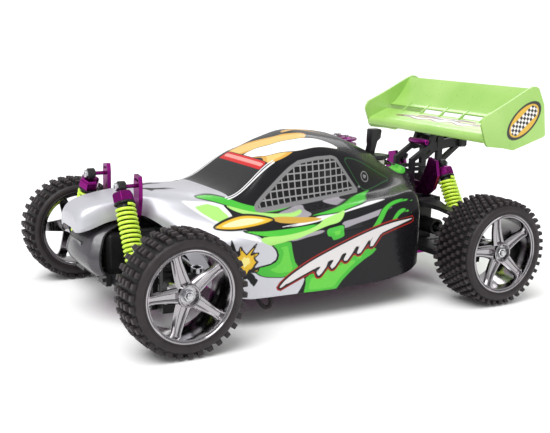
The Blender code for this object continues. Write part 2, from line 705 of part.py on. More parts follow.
def knuckle(side):
    """The steering knuckle turns on the kingpins and carries the stub axle and the steering arm."""
    solids = [
        cylinder((4, 0, 0), (11, 0, 0), 7, 12),
        cylinder((8, 0, 0), (STUB_END - kingpin_x(), 0, 0), 2.5, 10),
        box((-3, 4, 1.6), (3, TIE_BACK + 3, 5.4)),
        cylinder((0, TIE_BACK, 4), (0, TIE_BACK, 11), 1.3, 8),
    ]
    made = join(cylinder((0, 0, -9.9), (0, 0, 9.9), 7, 14), *solids)
    cutters = [
        cylinder((-9, 0, 0), (4.6, 0, 0), 4.8, 12),
        cylinder((0, 0, -12), (0, 0, -6.4), 2.2, 8),
        cylinder((0, 0, 6.4), (0, 0, 12), 2.2, 8),
    ]
    place = (kingpin_x(), FRONT_Y, TYRE_RADIUS)
    return piece(cut(made, *cutters), f"front_{SIDES[side]}_knuckle", "black_plastic", place, 0, side)


def kingpin_x():
    return hub_place("front")[0] + KINGPIN_OUT


def drive_axle(end, side):
    """A dogbone between the gearbox's cup and the wheel's own joint."""
    link, out = END[end]["link"], END[end]["joint_out"]
    shaft = cylinder((0, 0, 0), (link, 0, 0), 1.9, 8)
    made = join(shaft, ball((0, 0, 0), 3.4, 8), ball((link, 0, 0), 3.4, 8))
    place = (PIVOT_X + out, END[end]["y"], AXLE_Z)
    return piece(made, f"{end}_{SIDES[side]}_drive_axle", "steel", place, fall_angle(link), side)


def shock_axis(end):
    """The shock's length between its eyes and its lean from upright, in radians."""
    foot = in_arm(END[end]["foot"], END[end]["link"])
    out = PIVOT_X + foot[0] - END[end]["shock_top"][0]
    down = END[end]["shock_top"][1] - LOWER_Z - foot[1]
    return math.hypot(out, down), math.atan2(out, down)


def shock_parts(end, side):
    """A shock hangs from its top eye along -Z of its own frame: body, shaft with foot, and spring."""
    length, lean = shock_axis(end)
    top = END[end]["shock_top"]
    place = (top[0], END[end]["y"] + END[end]["shock_back"], top[1])
    name = f"{end}_{SIDES[side]}_shock"
    cup = -(length - 11)
    solids = [
        cylinder((0, 0, -15), (0, 0, -3.6), 7.8, 6),
        cylinder((0, 0, -16.6), (0, 0, -14), 7.2, 12),
        cylinder((0, 0, -42), (0, 0, -15), 5, 12),
    ]
    body = join(along_y(0, 0, -2.8, 2.8, 4.2, 12), *solids)
    body = cut(body, along_y(0, 0, -8, 8, PIN_BORE), cylinder((0, 0, -44), (0, 0, -21), 2.3, 8))
    piece(body, f"{name}_body", "anodised", place, -lean, side)
    solids = [
        cylinder((0, 0, -length + 3), (0, 0, -34), 1.7, 8),
        cylinder((0, 0, cup), (0, 0, cup + 2.4), 7.8, 12),
        cylinder((0, 0, -length + 3), (0, 0, cup + 0.6), 3.4, 8),
    ]
    shaft = join(along_y(0, -length, -2.6, 2.6, 4.0, 12), *solids)
    shaft = cut(shaft, along_y(0, -length, -8, 8, 2.3))
    piece(shaft, f"{name}_shaft", "black_plastic", place, -lean, side)
    low, high = cup + 2.4 + GAP, -16.6 - GAP
    coil = turned([(high, 7.7), (low, 7.7), (low, 5.5), (high, 5.5)], (0, 0, 1), 10)
    piece(coil, f"{name}_spring", "spring_lime", place, -lean, side)


def steering_link():
    """A bar across the car behind the front gearbox, with a pin at each end for the tie rods."""
    reach = kingpin_x() - reach_of(FRONT_LINK)
    solids = [along_y(side * reach, 0, -5.5, 2, PIN, 8) for side in (-1, 1)]
    made = join(box((-reach - 3, -1, -2.6), (reach + 3, 3, 2.6)), *solids)
    return piece(made, "steering_link", "anodised", (0, FRONT_Y + TIE_BACK + 3, TIE_Z))


def tie_rod(side):
    """The inner eye turns on the link's pin, and the outer eye lies loosely round the knuckle's stud."""
    inner = along_y(0, 0, -1.9, 1.6, 3.6, 10)
    outer = cylinder((FRONT_LINK, 0, -1.8), (FRONT_LINK, 0, 1.8), 4.4, 12)
    made = join(cylinder((2.6, 0, 0), (FRONT_LINK - 3.5, 0, 0), 1.5, 8), inner, outer)
    ball_hole = cylinder((FRONT_LINK, 0, -5), (FRONT_LINK, 0, 5), 3.1, 12)
    made = cut(made, along_y(0, 0, -6, 6, PIN_BORE), ball_hole)
    place = (kingpin_x() - reach_of(FRONT_LINK), FRONT_Y + TIE_BACK, TIE_Z)
    return piece(made, f"{SIDES[side]}_tie_rod", "steel", place, fall_angle(FRONT_LINK), side)


def rim(end, side):
    """A barrel, five spokes near the outer face, and a hub with a bore for the stub axle."""
    half = END[end]["tyre_width"] / 2
    edge = half - 1
    section = [(-edge, RIM_RADIUS), (edge, RIM_RADIUS), (edge, BARREL_RADIUS), (-edge, BARREL_RADIUS)]
    barrel = turned(section, (1, 0, 0), 20)
    hub = turned([(-8, 7), (half - 4, 7), (half - 4, 2.9), (-8, 2.9)], (1, 0, 0), 10)
    spokes = []
    for k in range(5):
        spoke = box((half - 11, -3.4, 6), (half - 5, 3.4, 29.6))
        spoke.data.transform(Matrix.Rotation(2 * math.pi * k / 5, 4, "X"))
        spokes.append(spoke)
    place = (END[end]["track_half"], END[end]["y"], TYRE_RADIUS)
    return piece(join(barrel, hub, *spokes), f"{end}_{SIDES[side]}_rim", "chrome", place, 0, side)


def tyre(end, side):
    half = END[end]["tyre_width"] / 2
    wall = [(half - 1.2, RIM_RADIUS + GAP), (half, 34), (half - 2, 40.5), (half - 6.5, TYRE_RADIUS)]
    profile = wall + [(-along, radius) for along, radius in reversed(wall)]
    place = (END[end]["track_half"], END[end]["y"], TYRE_RADIUS)
    made = turned(profile, (1, 0, 0), 20)
    return piece(made, f"{end}_{SIDES[side]}_tyre", "rubber", place, 0, side)


SIDES = {1: "left", -1: "right"}
END = {
    "front": {
        "y": FRONT_Y, "link": FRONT_LINK, "upper_z": FRONT_UPPER_Z,
        "upper_middle": 6.0, "joint_out": KINGPIN_OUT,
        "shock_back": FRONT_SHOCK_BACK, "shock_top": FRONT_SHOCK_TOP, "foot": FRONT_FOOT,
        "track_half": FRONT_TRACK_HALF, "tyre_width": FRONT_TYRE_WIDTH,
    },
    "rear": {
        "y": REAR_Y, "link": REAR_LINK, "upper_z": REAR_UPPER_Z,
        "upper_middle": -6.0, "joint_out": REAR_JOINT_OUT,
        "shock_back": REAR_SHOCK_BACK, "shock_top": REAR_SHOCK_TOP, "foot": REAR_FOOT,
        "track_half": REAR_TRACK_HALF, "tyre_width": REAR_TYRE_WIDTH,
    },
}


for build in (
    chassis_plate, front_bumper, front_shock_tower, rear_shock_tower, wing_mount, wing, body_shell,
    engine_block, cooling_head, air_filter, exhaust_pipe, fuel_tank, fuel_tank_lid, radio_box,
    steering_servo, centre_gearbox, spur_gear, steering_link,
):
    build()
gearbox("front_gearbox", -157, -125.5, FRONT_Y, 31.5, FRONT_UPPER_Z, END["front"]["upper_middle"])
gearbox("rear_gearbox", 117, 147, REAR_Y, CLEARANCE + PLATE + GAP, REAR_UPPER_Z, END["rear"]["upper_middle"])
for side in SIDES:
    c_hub(side)
    hub_carrier(side)
    knuckle(side)
    tie_rod(side)
    for end in END:
        lower_arm(end, side)
        upper_arm(end, side)
        drive_axle(end, side)
        shock_parts(end, side)
        rim(end, side)
        tyre(end, side)
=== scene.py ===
import json
import math

import bmesh
import bpy
import numpy as np
from mathutils import Matrix, Vector


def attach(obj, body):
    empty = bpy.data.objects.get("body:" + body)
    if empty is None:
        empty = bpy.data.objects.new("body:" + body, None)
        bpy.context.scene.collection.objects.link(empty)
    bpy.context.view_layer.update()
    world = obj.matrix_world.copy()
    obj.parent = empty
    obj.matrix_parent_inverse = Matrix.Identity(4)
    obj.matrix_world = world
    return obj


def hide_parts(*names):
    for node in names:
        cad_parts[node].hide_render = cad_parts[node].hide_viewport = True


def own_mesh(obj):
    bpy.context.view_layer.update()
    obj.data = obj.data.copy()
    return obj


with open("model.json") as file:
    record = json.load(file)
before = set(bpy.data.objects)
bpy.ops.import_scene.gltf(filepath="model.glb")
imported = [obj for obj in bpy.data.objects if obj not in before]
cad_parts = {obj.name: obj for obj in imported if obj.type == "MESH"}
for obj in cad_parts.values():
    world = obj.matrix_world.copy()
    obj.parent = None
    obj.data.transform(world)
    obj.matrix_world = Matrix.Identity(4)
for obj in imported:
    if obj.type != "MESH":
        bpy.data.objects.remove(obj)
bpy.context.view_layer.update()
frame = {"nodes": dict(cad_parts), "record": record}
nodes = frame["nodes"]

# Everything below is drawn in millimetres, with y counted from the middle of the wheelbase.
MM = 0.001
ORIGIN_Y = -17.75
TYRE_HALF = {"front": 16.0, "rear": 20.0}
SIDES = {"left": 1, "right": -1}
JOINTS = {joint["name"]: joint for joint in frame["record"]["behaviour"]["joints"]}


def joint_place(name):
    """A joint's place in the drawing's millimetres."""
    x, y, z = JOINTS[name]["pos_m"]
    return x / MM, y / MM - ORIGIN_Y, z / MM


WHEEL_CENTRE = {end: joint_place(end + "_left_wheel_spin") for end in TYRE_HALF}
WHEEL_R = WHEEL_CENTRE["front"][2]
# The lower eye of each shock: its distance along the lower arm from the pivot, and above the arm's line
SHOCK_FOOT = {"front": (37.5, 8.0), "rear": (37.0, 8.0)}
SPRING_TOP = 13.8
# Points closer than this are one point, in metres
WELD = 2e-6


def shock_line(end):
    """A left shock's length between eyes, lean in degrees, top eye and travel, from the joints."""
    top = joint_place(end + "_left_shock_hinge")
    pivot, tip = joint_place(end + "_left_suspension"), joint_place(end + "_left_hub_hinge")
    slope = math.atan2(tip[2] - pivot[2], tip[0] - pivot[0])
    along, above = SHOCK_FOOT[end]
    out = pivot[0] + along * math.cos(slope) - above * math.sin(slope) - top[0]
    down = top[2] - (pivot[2] + along * math.sin(slope) + above * math.cos(slope))
    travel = JOINTS[end + "_left_shock_slide"]["range_m"][1] / MM
    return math.hypot(out, down), math.degrees(math.atan2(out, down)), top, travel


# ---------------------------------------------------------------- shapes


def grid(points, wrap_rows=False, wrap_columns=False):
    """Quads over an array of points (rows, columns, 3)."""
    points = np.asarray(points, float)
    rows, columns = points.shape[:2]
    faces = []
    for i in range(rows if wrap_rows else rows - 1):
        for j in range(columns if wrap_columns else columns - 1):
            a, b = i * columns + j, i * columns + (j + 1) % columns
            c, d = (i + 1) % rows * columns + (j + 1) % columns, (i + 1) % rows * columns + j
            faces.append((a, b, c, d))
    return points.reshape(-1, 3), faces


def revolve(profile, steps=64):
    """A closed profile of (along, radius) turned about the X axis."""
    turn = np.linspace(0, 2 * math.pi, steps, endpoint=False)
    points = [[(a, r * math.cos(t), r * math.sin(t)) for a, r in profile] for t in turn]
    return grid(points, True, True)


def loft(rings):
    """Closed rings joined in order, with both ends capped."""
    points, faces = grid(rings, False, True)
    count = len(rings[0])
    faces.append(tuple(range(count)))
    faces.append(tuple(len(points) - count + k for k in range(count)))
    return points, faces


def prism(outline, low, high):
    """An outline in the local XY plane, extruded along Z."""
    return loft([[(x, y, low) for x, y in outline], [(x, y, high) for x, y in outline]])


def tube(path, radius, sides=10):
    """A round bar along a path."""
    path = np.asarray(path, float)
    ahead = np.gradient(path, axis=0)
    ahead /= np.linalg.norm(ahead, axis=1)[:, None]
    start = np.cross(ahead[0], (0.31, 0.2, 0.93))
    rings = []
    across = start / np.linalg.norm(start)
    for point, way in zip(path, ahead):
        across = across - way * across.dot(way)
        across /= np.linalg.norm(across)
        other = np.cross(way, across)
        rings.append([
            point + radius * (math.cos(t) * across + math.sin(t) * other)
            for t in np.linspace(0, 2 * math.pi, sides, endpoint=False)
        ])
    return loft(rings)


def block(low, high):
    x0, y0, z0 = low
    x1, y1, z1 = high
    return prism([(x0, y0), (x1, y0), (x1, y1), (x0, y1)], z0, z1)


def moved(shape, matrix):
    points, faces = shape
    turned = np.asarray(points, float) @ np.array(matrix.to_3x3()).T
    return turned + np.array(matrix.translation), faces


def at(x=0.0, y=0.0, z=0.0):
    return Matrix.Translation((x, y, z))


def turn(degrees, axis):
    return Matrix.Rotation(math.radians(degrees), 4, axis)


def regular(sides, radius, start=0.0):
    angles = [start + 2 * math.pi * k / sides for k in range(sides)]
    return [(radius * math.cos(t), radius * math.sin(t)) for t in angles]


def curve(points, steps=5, closed=True):
    """A Catmull-Rom curve through the points."""
    points = np.asarray(points, float)
    count = len(points)
    spans = count if closed else count - 1
    out = []
    for i in range(spans):
        if closed:
            a, b, c, d = (points[(i + k) % count] for k in (-1, 0, 1, 2))
        else:
            a, b, c, d = (points[min(max(i + k, 0), count - 1)] for k in (-1, 0, 1, 2))
        for t in np.linspace(0, 1, steps, endpoint=False):
            out.append(0.5 * (2 * b + (c - a) * t + (2 * a - 5 * b + 4 * c - d) * t**2
                              + (3 * b - a - 3 * c + d) * t**3))
    if not closed:
        out.append(points[-1])
    return np.array(out)


def placed_object(name, mesh):
    obj = bpy.data.objects.new(name, mesh)
    bpy.context.scene.collection.objects.link(obj)
    return obj


def solid_mesh(name, points, faces, weld=0.0, bevel=0.0):
    """A mesh of points in the drawing's millimetres, with its faces turned outward."""
    mesh = bpy.data.meshes.new(name)
    mesh.from_pydata(((np.asarray(points, float) + (0, ORIGIN_Y, 0)) * MM).tolist(), [], faces)
    bm = bmesh.new()
    bm.from_mesh(mesh)
    if weld:
        bmesh.ops.remove_doubles(bm, verts=bm.verts, dist=weld)
    bmesh.ops.recalc_face_normals(bm, faces=bm.faces)
    if bevel:
        edges = [e for e in bm.edges if e.is_manifold and e.calc_face_angle(0) > math.radians(30)]
        bmesh.ops.bevel(bm, geom=edges, offset=bevel * MM, segments=2, profile=0.5,
                        affect="EDGES", clamp_overlap=True)
    bm.to_mesh(mesh)
    bm.free()
    return mesh


def apply_modifiers(obj):
    bpy.context.view_layer.update()
    result = bpy.data.meshes.new_from_object(obj.evaluated_get(bpy.context.evaluated_depsgraph_get()))
    obj.modifiers.clear()
    obj.data = result


def emit(name, shapes, slot, body, replaced=(), side=1, bevel=0.0, sharp=35.0, material=None):
    """One piece made of shapes in millimetres, mirrored in X for side -1, in its slot's finish."""
    points, faces = [], []
    for shape_points, shape_faces in shapes:
        start = len(points)
        points.extend(np.asarray(shape_points, float))
        faces.extend(tuple(start + k for k in face) for face in shape_faces)
    mesh = solid_mesh(name, np.array(points) * (side, 1, 1), faces, weld=WELD, bevel=bevel)
    mesh.shade_smooth()
    mesh.set_sharp_from_angle(angle=math.radians(sharp))
    mesh.materials.append(material or FINISH[slot])
    obj = placed_object(name, mesh)
    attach(obj, body)
    if replaced:
        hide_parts(*replaced)
    return obj


# ---------------------------------------------------------------- materials


class Shader:
    """A material whose sockets are set by name, with short calls for the nodes used here."""

    def __init__(self, name, color=None, **values):
        self.material = bpy.data.materials.new(name)
        self.material.use_nodes = True
        self.tree = self.material.node_tree
        self.bsdf = self.tree.nodes["Principled BSDF"]
        self.place = self.node("ShaderNodeTexCoord").outputs["Object"]
        if color:
            self.bsdf.inputs["Base Color"].default_value = (*color, 1)
        for key, value in values.items():
            self.bsdf.inputs[key.replace("_", " ")].default_value = value

    def node(self, kind, **settings):
        made = self.tree.nodes.new(kind)
        for key, value in settings.items():
            setattr(made, key, value)
        return made

    def link(self, value, socket):
        if isinstance(value, bpy.types.NodeSocket):
            self.tree.links.new(value, socket)
        elif isinstance(value, tuple) and len(value) == 3 and socket.type == "RGBA":
            socket.default_value = (*value, 1)
        else:
            socket.default_value = value

    def math(self, operation, a, b=0.0):
        made = self.node("ShaderNodeMath", operation=operation)
        self.link(a, made.inputs[0])
        self.link(b, made.inputs[1])
        return made.outputs[0]

    def noise(self, size, detail):
        """Noise whose grains are about size millimetres across."""
        made = self.node("ShaderNodeTexNoise")
        made.inputs["Scale"].default_value = 1 / (size * MM)
        made.inputs["Detail"].default_value = detail
        self.link(self.place, made.inputs["Vector"])
        return made.outputs["Fac"]

    def spread(self, value, low, high, from_low=0.3, from_high=0.7):
        made = self.node("ShaderNodeMapRange")
        for socket, number in zip(made.inputs[1:5], (from_low, from_high, low, high)):
            socket.default_value = number
        self.link(value, made.inputs[0])
        return made.outputs[0]

    def mix(self, share, a, b):
        made = self.node("ShaderNodeMix", data_type="RGBA")
        self.link(share, made.inputs["Factor"])
        self.link(a, made.inputs[6])
        self.link(b, made.inputs[7])
        return made.outputs[2]

    def attribute(self, name):
        return self.node("ShaderNodeAttribute", attribute_name=name).outputs["Fac"]

    def inside(self, name, grow=0.0, soft=0.25):
        """1 inside the painted shape held by an attribute, grown by some millimetres."""
        return self.spread(self.attribute(name), 1.0, 0.0, grow - soft, grow + soft)

    def set(self, socket, value):
        self.link(value, self.bsdf.inputs[socket])

    def relief(self, height, depth, edge=0.0, strength=1.0):
        """Bump of some millimetres, over edges rounded by some millimetres."""
        made = self.node("ShaderNodeBump")
        made.inputs["Distance"].default_value = depth * MM
        made.inputs["Strength"].default_value = strength
        self.link(height, made.inputs["Height"])
        if edge:
            soft = self.node("ShaderNodeBevel", samples=4)
            soft.inputs["Radius"].default_value = edge * MM
            self.link(soft.outputs[0], made.inputs["Normal"])
        self.set("Normal", made.outputs[0])


def moulded(name, color, rough, grain, depth, edge=0.5, worn=1.5, **values):
    """Moulded plastic: a fine grain, flow marks and patches that are a little more worn."""
    made = Shader(name, color, **values)
    patches = made.noise(9, 3)
    made.set("Base Color", made.mix(made.spread(patches, 0, 1), color, tuple(c * worn for c in color)))
    made.set("Roughness", made.spread(made.noise(2.5, 4), rough - 0.07, rough + 0.05))
    made.relief(made.noise(grain, 3), depth, edge)
    return made.material


def metal(name, color, rough, tint=0.85, edge=0.4):
    """Metal with a fine grain and slightly uneven colour."""
    made = Shader(name, color, Metallic=1.0)
    made.set("Base Color", made.mix(made.noise(4, 3), color, tuple(c * tint for c in color)))
    made.set("Roughness", made.spread(made.noise(0.8, 4), rough * 0.75, rough * 1.3))
    made.relief(made.noise(0.35, 3), 0.02, edge)
    return made.material


def rubber_material():
    made = Shader("rubber", (0.016, 0.012, 0.013), Specular_IOR_Level=0.35)
    dust = made.spread(made.noise(8, 3), 0, 1)
    walls = made.mix(dust, (0.015, 0.011, 0.012), (0.023, 0.017, 0.019))
    # The floor between the tread blocks is painted darker: painted shade
    shaded_tread_floor = made.mix(made.inside("tread_floor_shade"), walls, (0.004, 0.003, 0.0035))
    made.set("Base Color", made.mix(made.inside("tread"), shaded_tread_floor, (0.034, 0.027, 0.029)))
    made.set("Roughness", made.spread(made.noise(1.2, 4), 0.46, 0.6))
    made.relief(made.noise(0.45, 3), 0.02)
    return made.material


def spring_material():
    made = Shader("spring_lime", (0.6, 0.85, 0.03), Coat_Weight=0.5, Coat_Roughness=0.15)
    cloud = made.spread(made.noise(6, 2), 0, 1)
    made.set("Base Color", made.mix(cloud, (0.55, 0.8, 0.03), (0.68, 0.92, 0.08)))
    made.set("Roughness", made.spread(made.noise(1.5, 3), 0.28, 0.42))
    made.relief(made.noise(0.6, 3), 0.03)
    return made.material


foam = moulded("filter_foam", (0.02, 0.02, 0.022), 0.9, 0.7, 0.4)
FINISH = {
    "black_plastic": moulded("black_plastic", (0.01, 0.01, 0.011), 0.4, 0.5, 0.04, Specular_IOR_Level=0.3),
    "grey_plastic": moulded("grey_plastic", (0.052, 0.048, 0.056), 0.32, 1.5, 0.004, worn=1.1,
                            Coat_Weight=0.25),
    "tank_plastic": moulded("tank_plastic", (0.72, 0.7, 0.62), 0.45, 0.8, 0.03),
    "anodised": metal("anodised", (0.25, 0.014, 0.19), 0.3, tint=0.8),
    "steel": metal("steel", (0.55, 0.55, 0.57), 0.28),
    "cast_alloy": metal("cast_alloy", (0.5, 0.5, 0.5), 0.5),
    "chrome": metal("chrome", (0.38, 0.365, 0.38), 0.09, tint=0.94, edge=0.15),
    "rubber": rubber_material(),
    "spring_lime": spring_material(),
}
slot_of = {row["node"]: row.get("material_slot") for row in frame["record"].get("subparts", [])}
for name, node in nodes.items():
    finish = foam if name == "air_filter" else FINISH.get(slot_of.get(name), FINISH["black_plastic"])
    for slot in node.material_slots:
        slot.material = finish


# ---------------------------------------------------------------- painted outlines


def outline_distance(u, v, outline, smooth):
    """Signed distance to an outline, negative inside, for points near it; 9 elsewhere."""
    points = curve(outline) if smooth else np.asarray(outline, float)
    out = np.full(len(u), 9.0)
    low, high = points.min(0) - 9, points.max(0) + 9
    near = np.nonzero((u > low[0]) & (u < high[0]) & (v > low[1]) & (v < high[1]))[0]
    x, y = u[near], v[near]
    best = np.full(len(near), 1e9)
    within = np.zeros(len(near), bool)
    for (ax, ay), (bx, by) in zip(points, np.roll(points, -1, 0)):
        dx, dy = bx - ax, by - ay
        share = np.clip(((x - ax) * dx + (y - ay) * dy) / max(dx * dx + dy * dy, 1e-9), 0, 1)
        best = np.minimum(best, np.hypot(x - ax - share * dx, y - ay - share * dy))
        if dy:
            crosses = (ay > y) != (by > y)
            within ^= crosses & (x < dx * (y - ay) / dy + ax)
    out[near] = np.clip(np.where(within, -best, best), -9, 9)
    return out


def stroke_distance(u, v, stroke):
    """Signed distance to a brush stroke of (u, v, half width) points, up to 9."""
    points = curve(stroke, 6, closed=False)
    best = np.full(len(u), 9.0)
    for (ax, ay, ar), (bx, by, br) in zip(points, points[1:]):
        dx, dy = bx - ax, by - ay
        share = np.clip(((u - ax) * dx + (v - ay) * dy) / max(dx * dx + dy * dy, 1e-9), 0, 1)
        gap = np.hypot(u - ax - share * dx, v - ay - share * dy) - (ar + share * (br - ar))
        best = np.minimum(best, gap)
    return best


def paint(mesh, name, distance):
    layer = mesh.attributes.new(name, "FLOAT", "POINT")
    layer.data.foreach_set("value", distance.astype(np.float32))


def places(obj):
    """The piece's vertices in the drawing's millimetres, as x, y, z."""
    co = np.zeros(len(obj.data.vertices) * 3, np.float32)
    obj.data.vertices.foreach_get("co", co)
    co = co.reshape(-1, 3).astype(float) / MM
    return co[:, 0], co[:, 1] - ORIGIN_Y, co[:, 2]


# ---------------------------------------------------------------- body shell

# Each station is (y, seven (x, z) points from the centre line down to the lower edge).
STATIONS = [
    (-179, [(0, 76), (3, 76), (6.5, 75.4), (8.5, 74), (9, 72.5), (8.5, 71), (8, 70)]),
    (-178, [(0, 80), (8, 79.5), (14, 77.5), (16.5, 75), (17, 72), (16.5, 69), (15.5, 67)]),
    (-172, [(0, 86), (10, 85.5), (17.5, 83.5), (20.5, 80), (21.5, 76), (21.5, 72), (20.5, 68.5)]),
    (-155, [(0, 90.5), (13, 90), (20.5, 88), (23, 84), (24, 80.5), (24.5, 77.5), (24.5, 75)]),
    (-132, [(0, 93.5), (14, 93), (21.5, 91), (24, 87), (25, 83.5), (25.5, 80.5), (25.5, 78)]),
    (-122, [(0, 94.5), (16, 94), (25, 91.5), (30, 87), (34, 82), (37, 77), (38, 73)]),
    (-110, [(0, 94.5), (18, 94), (30, 91), (40, 84.5), (50, 76.5), (57, 66), (57.5, 53)]),
    (-97, [(0, 94), (21, 93.3), (35, 90.5), (47, 83.5), (60, 74.5), (69, 62), (70, 30)]),
    (-84, [(0, 93), (24, 92.3), (41, 89), (53, 82.5), (68, 73), (79, 60), (80, 24)]),
    (-68, [(0, 91.8), (24, 91.6), (45, 90), (57, 82), (73, 73), (84, 60), (85, 21.5)]),
    (-27, [(0, 115.5), (22, 115.3), (37.5, 113.5), (60, 83), (76, 77), (87, 62), (87, 21.5)]),
    (-4, [(0, 127.5), (23, 125.8), (41, 118.5), (60, 84.5), (76, 79.5), (88, 63), (88, 21.5)]),
    (17, [(0, 133.2), (23, 131), (42, 121.5), (60, 86), (76, 81.5), (88, 64), (88, 21.5)]),
    (42, [(0, 130.3), (23, 127.8), (41, 117), (59, 87), (75, 84), (87, 65), (87, 22)]),
    (66, [(0, 121.5), (21, 118.5), (38, 107.5), (56, 88), (73, 87), (85, 67), (86, 25)]),
    (84, [(0, 113), (18, 111), (34, 101), (52, 90), (69, 89.5), (81, 70), (81, 31)]),
    (94, [(0, 109), (16, 107.5), (30, 99.5), (46, 91.5), (60, 88.5), (67, 76), (65, 54)]),
    (104, [(0, 104.5), (14, 103.5), (26, 98), (38, 92.5), (46, 87), (48, 79), (46, 70)]),
    (118, [(0, 99.5), (12, 99), (22, 96), (26, 90), (28, 84), (29, 79), (29, 75)]),
    (122, [(0, 98), (11.5, 97.5), (21, 94.5), (25, 89), (27, 84), (27.5, 80), (27.5, 76)]),
]
SHELL = 1.2
# Round holes over the cooling head and the tank's neck, as (x, y, radius), and the heights of the cut
HEAD_HOLE = (-28.0, 76.0, 20.0)
NECK_HOLE = (14.0, 87.0, 14.5)
HOLE_SPAN = (88, 150)
NET_PITCH = 5.3
# The small ring behind each window, as (y, z)
RING = (52, 99)


def smooth_through(knots, values, wanted):
    """A curve through the values that never swings past them."""
    step = np.diff(knots)
    slope = np.diff(values) / step
    tangent = np.zeros(len(knots))
    for i in range(1, len(knots) - 1):
        if slope[i - 1] * slope[i] > 0:
            a, b = 2 * step[i] + step[i - 1], step[i] + 2 * step[i - 1]
            tangent[i] = (a + b) / (a / slope[i - 1] + b / slope[i])
    tangent[0], tangent[-1] = slope[0], slope[-1]
    i = np.clip(np.searchsorted(knots, wanted) - 1, 0, len(knots) - 2)
    t = (wanted - knots[i]) / step[i]
    return ((2 * t**3 - 3 * t**2 + 1) * values[i] + (t**3 - 2 * t**2 + t) * step[i] * tangent[i]
            + (3 * t**2 - 2 * t**3) * values[i + 1] + (t**3 - t**2) * step[i] * tangent[i + 1])


def shell_surface(rows, columns):
    """The whole outer surface, sill to sill, as rows along Y."""
    y = np.array([s[0] for s in STATIONS], float)
    points = np.array([s[1] for s in STATIONS], float)
    fine_y = smooth_through(np.linspace(0, 1, len(y)), y, np.linspace(0, 1, rows))
    around = np.arange(7.0)
    fine = np.linspace(0, 6, columns)
    surface = np.zeros((rows, 2 * columns - 1, 3))
    for i, here in enumerate(fine_y):
        cut = np.array([[smooth_through(y, points[:, k, c], np.array([here]))[0] for c in (0, 1)]
                        for k in range(7)])
        x = smooth_through(around, cut[:, 0], fine)
        z = smooth_through(around, cut[:, 1], fine)
        half = np.stack([x, np.full(columns, here), z], 1)
        surface[i] = np.concatenate([half[::-1], half[1:] * (-1, 1, 1)])
    return surface


def cut_round(obj, x, y, radius):
    """A round hole straight down through the top of the shell."""
    outline = [(x + a, y + b) for a, b in regular(64, radius)]
    cutter = placed_object("hole", solid_mesh("hole", *prism(outline, *HOLE_SPAN)))
    hole = obj.modifiers.new("hole", "BOOLEAN")
    hole.operation, hole.object, hole.solver = "DIFFERENCE", cutter, "EXACT"
    apply_modifiers(obj)
    bpy.data.objects.remove(cutter)


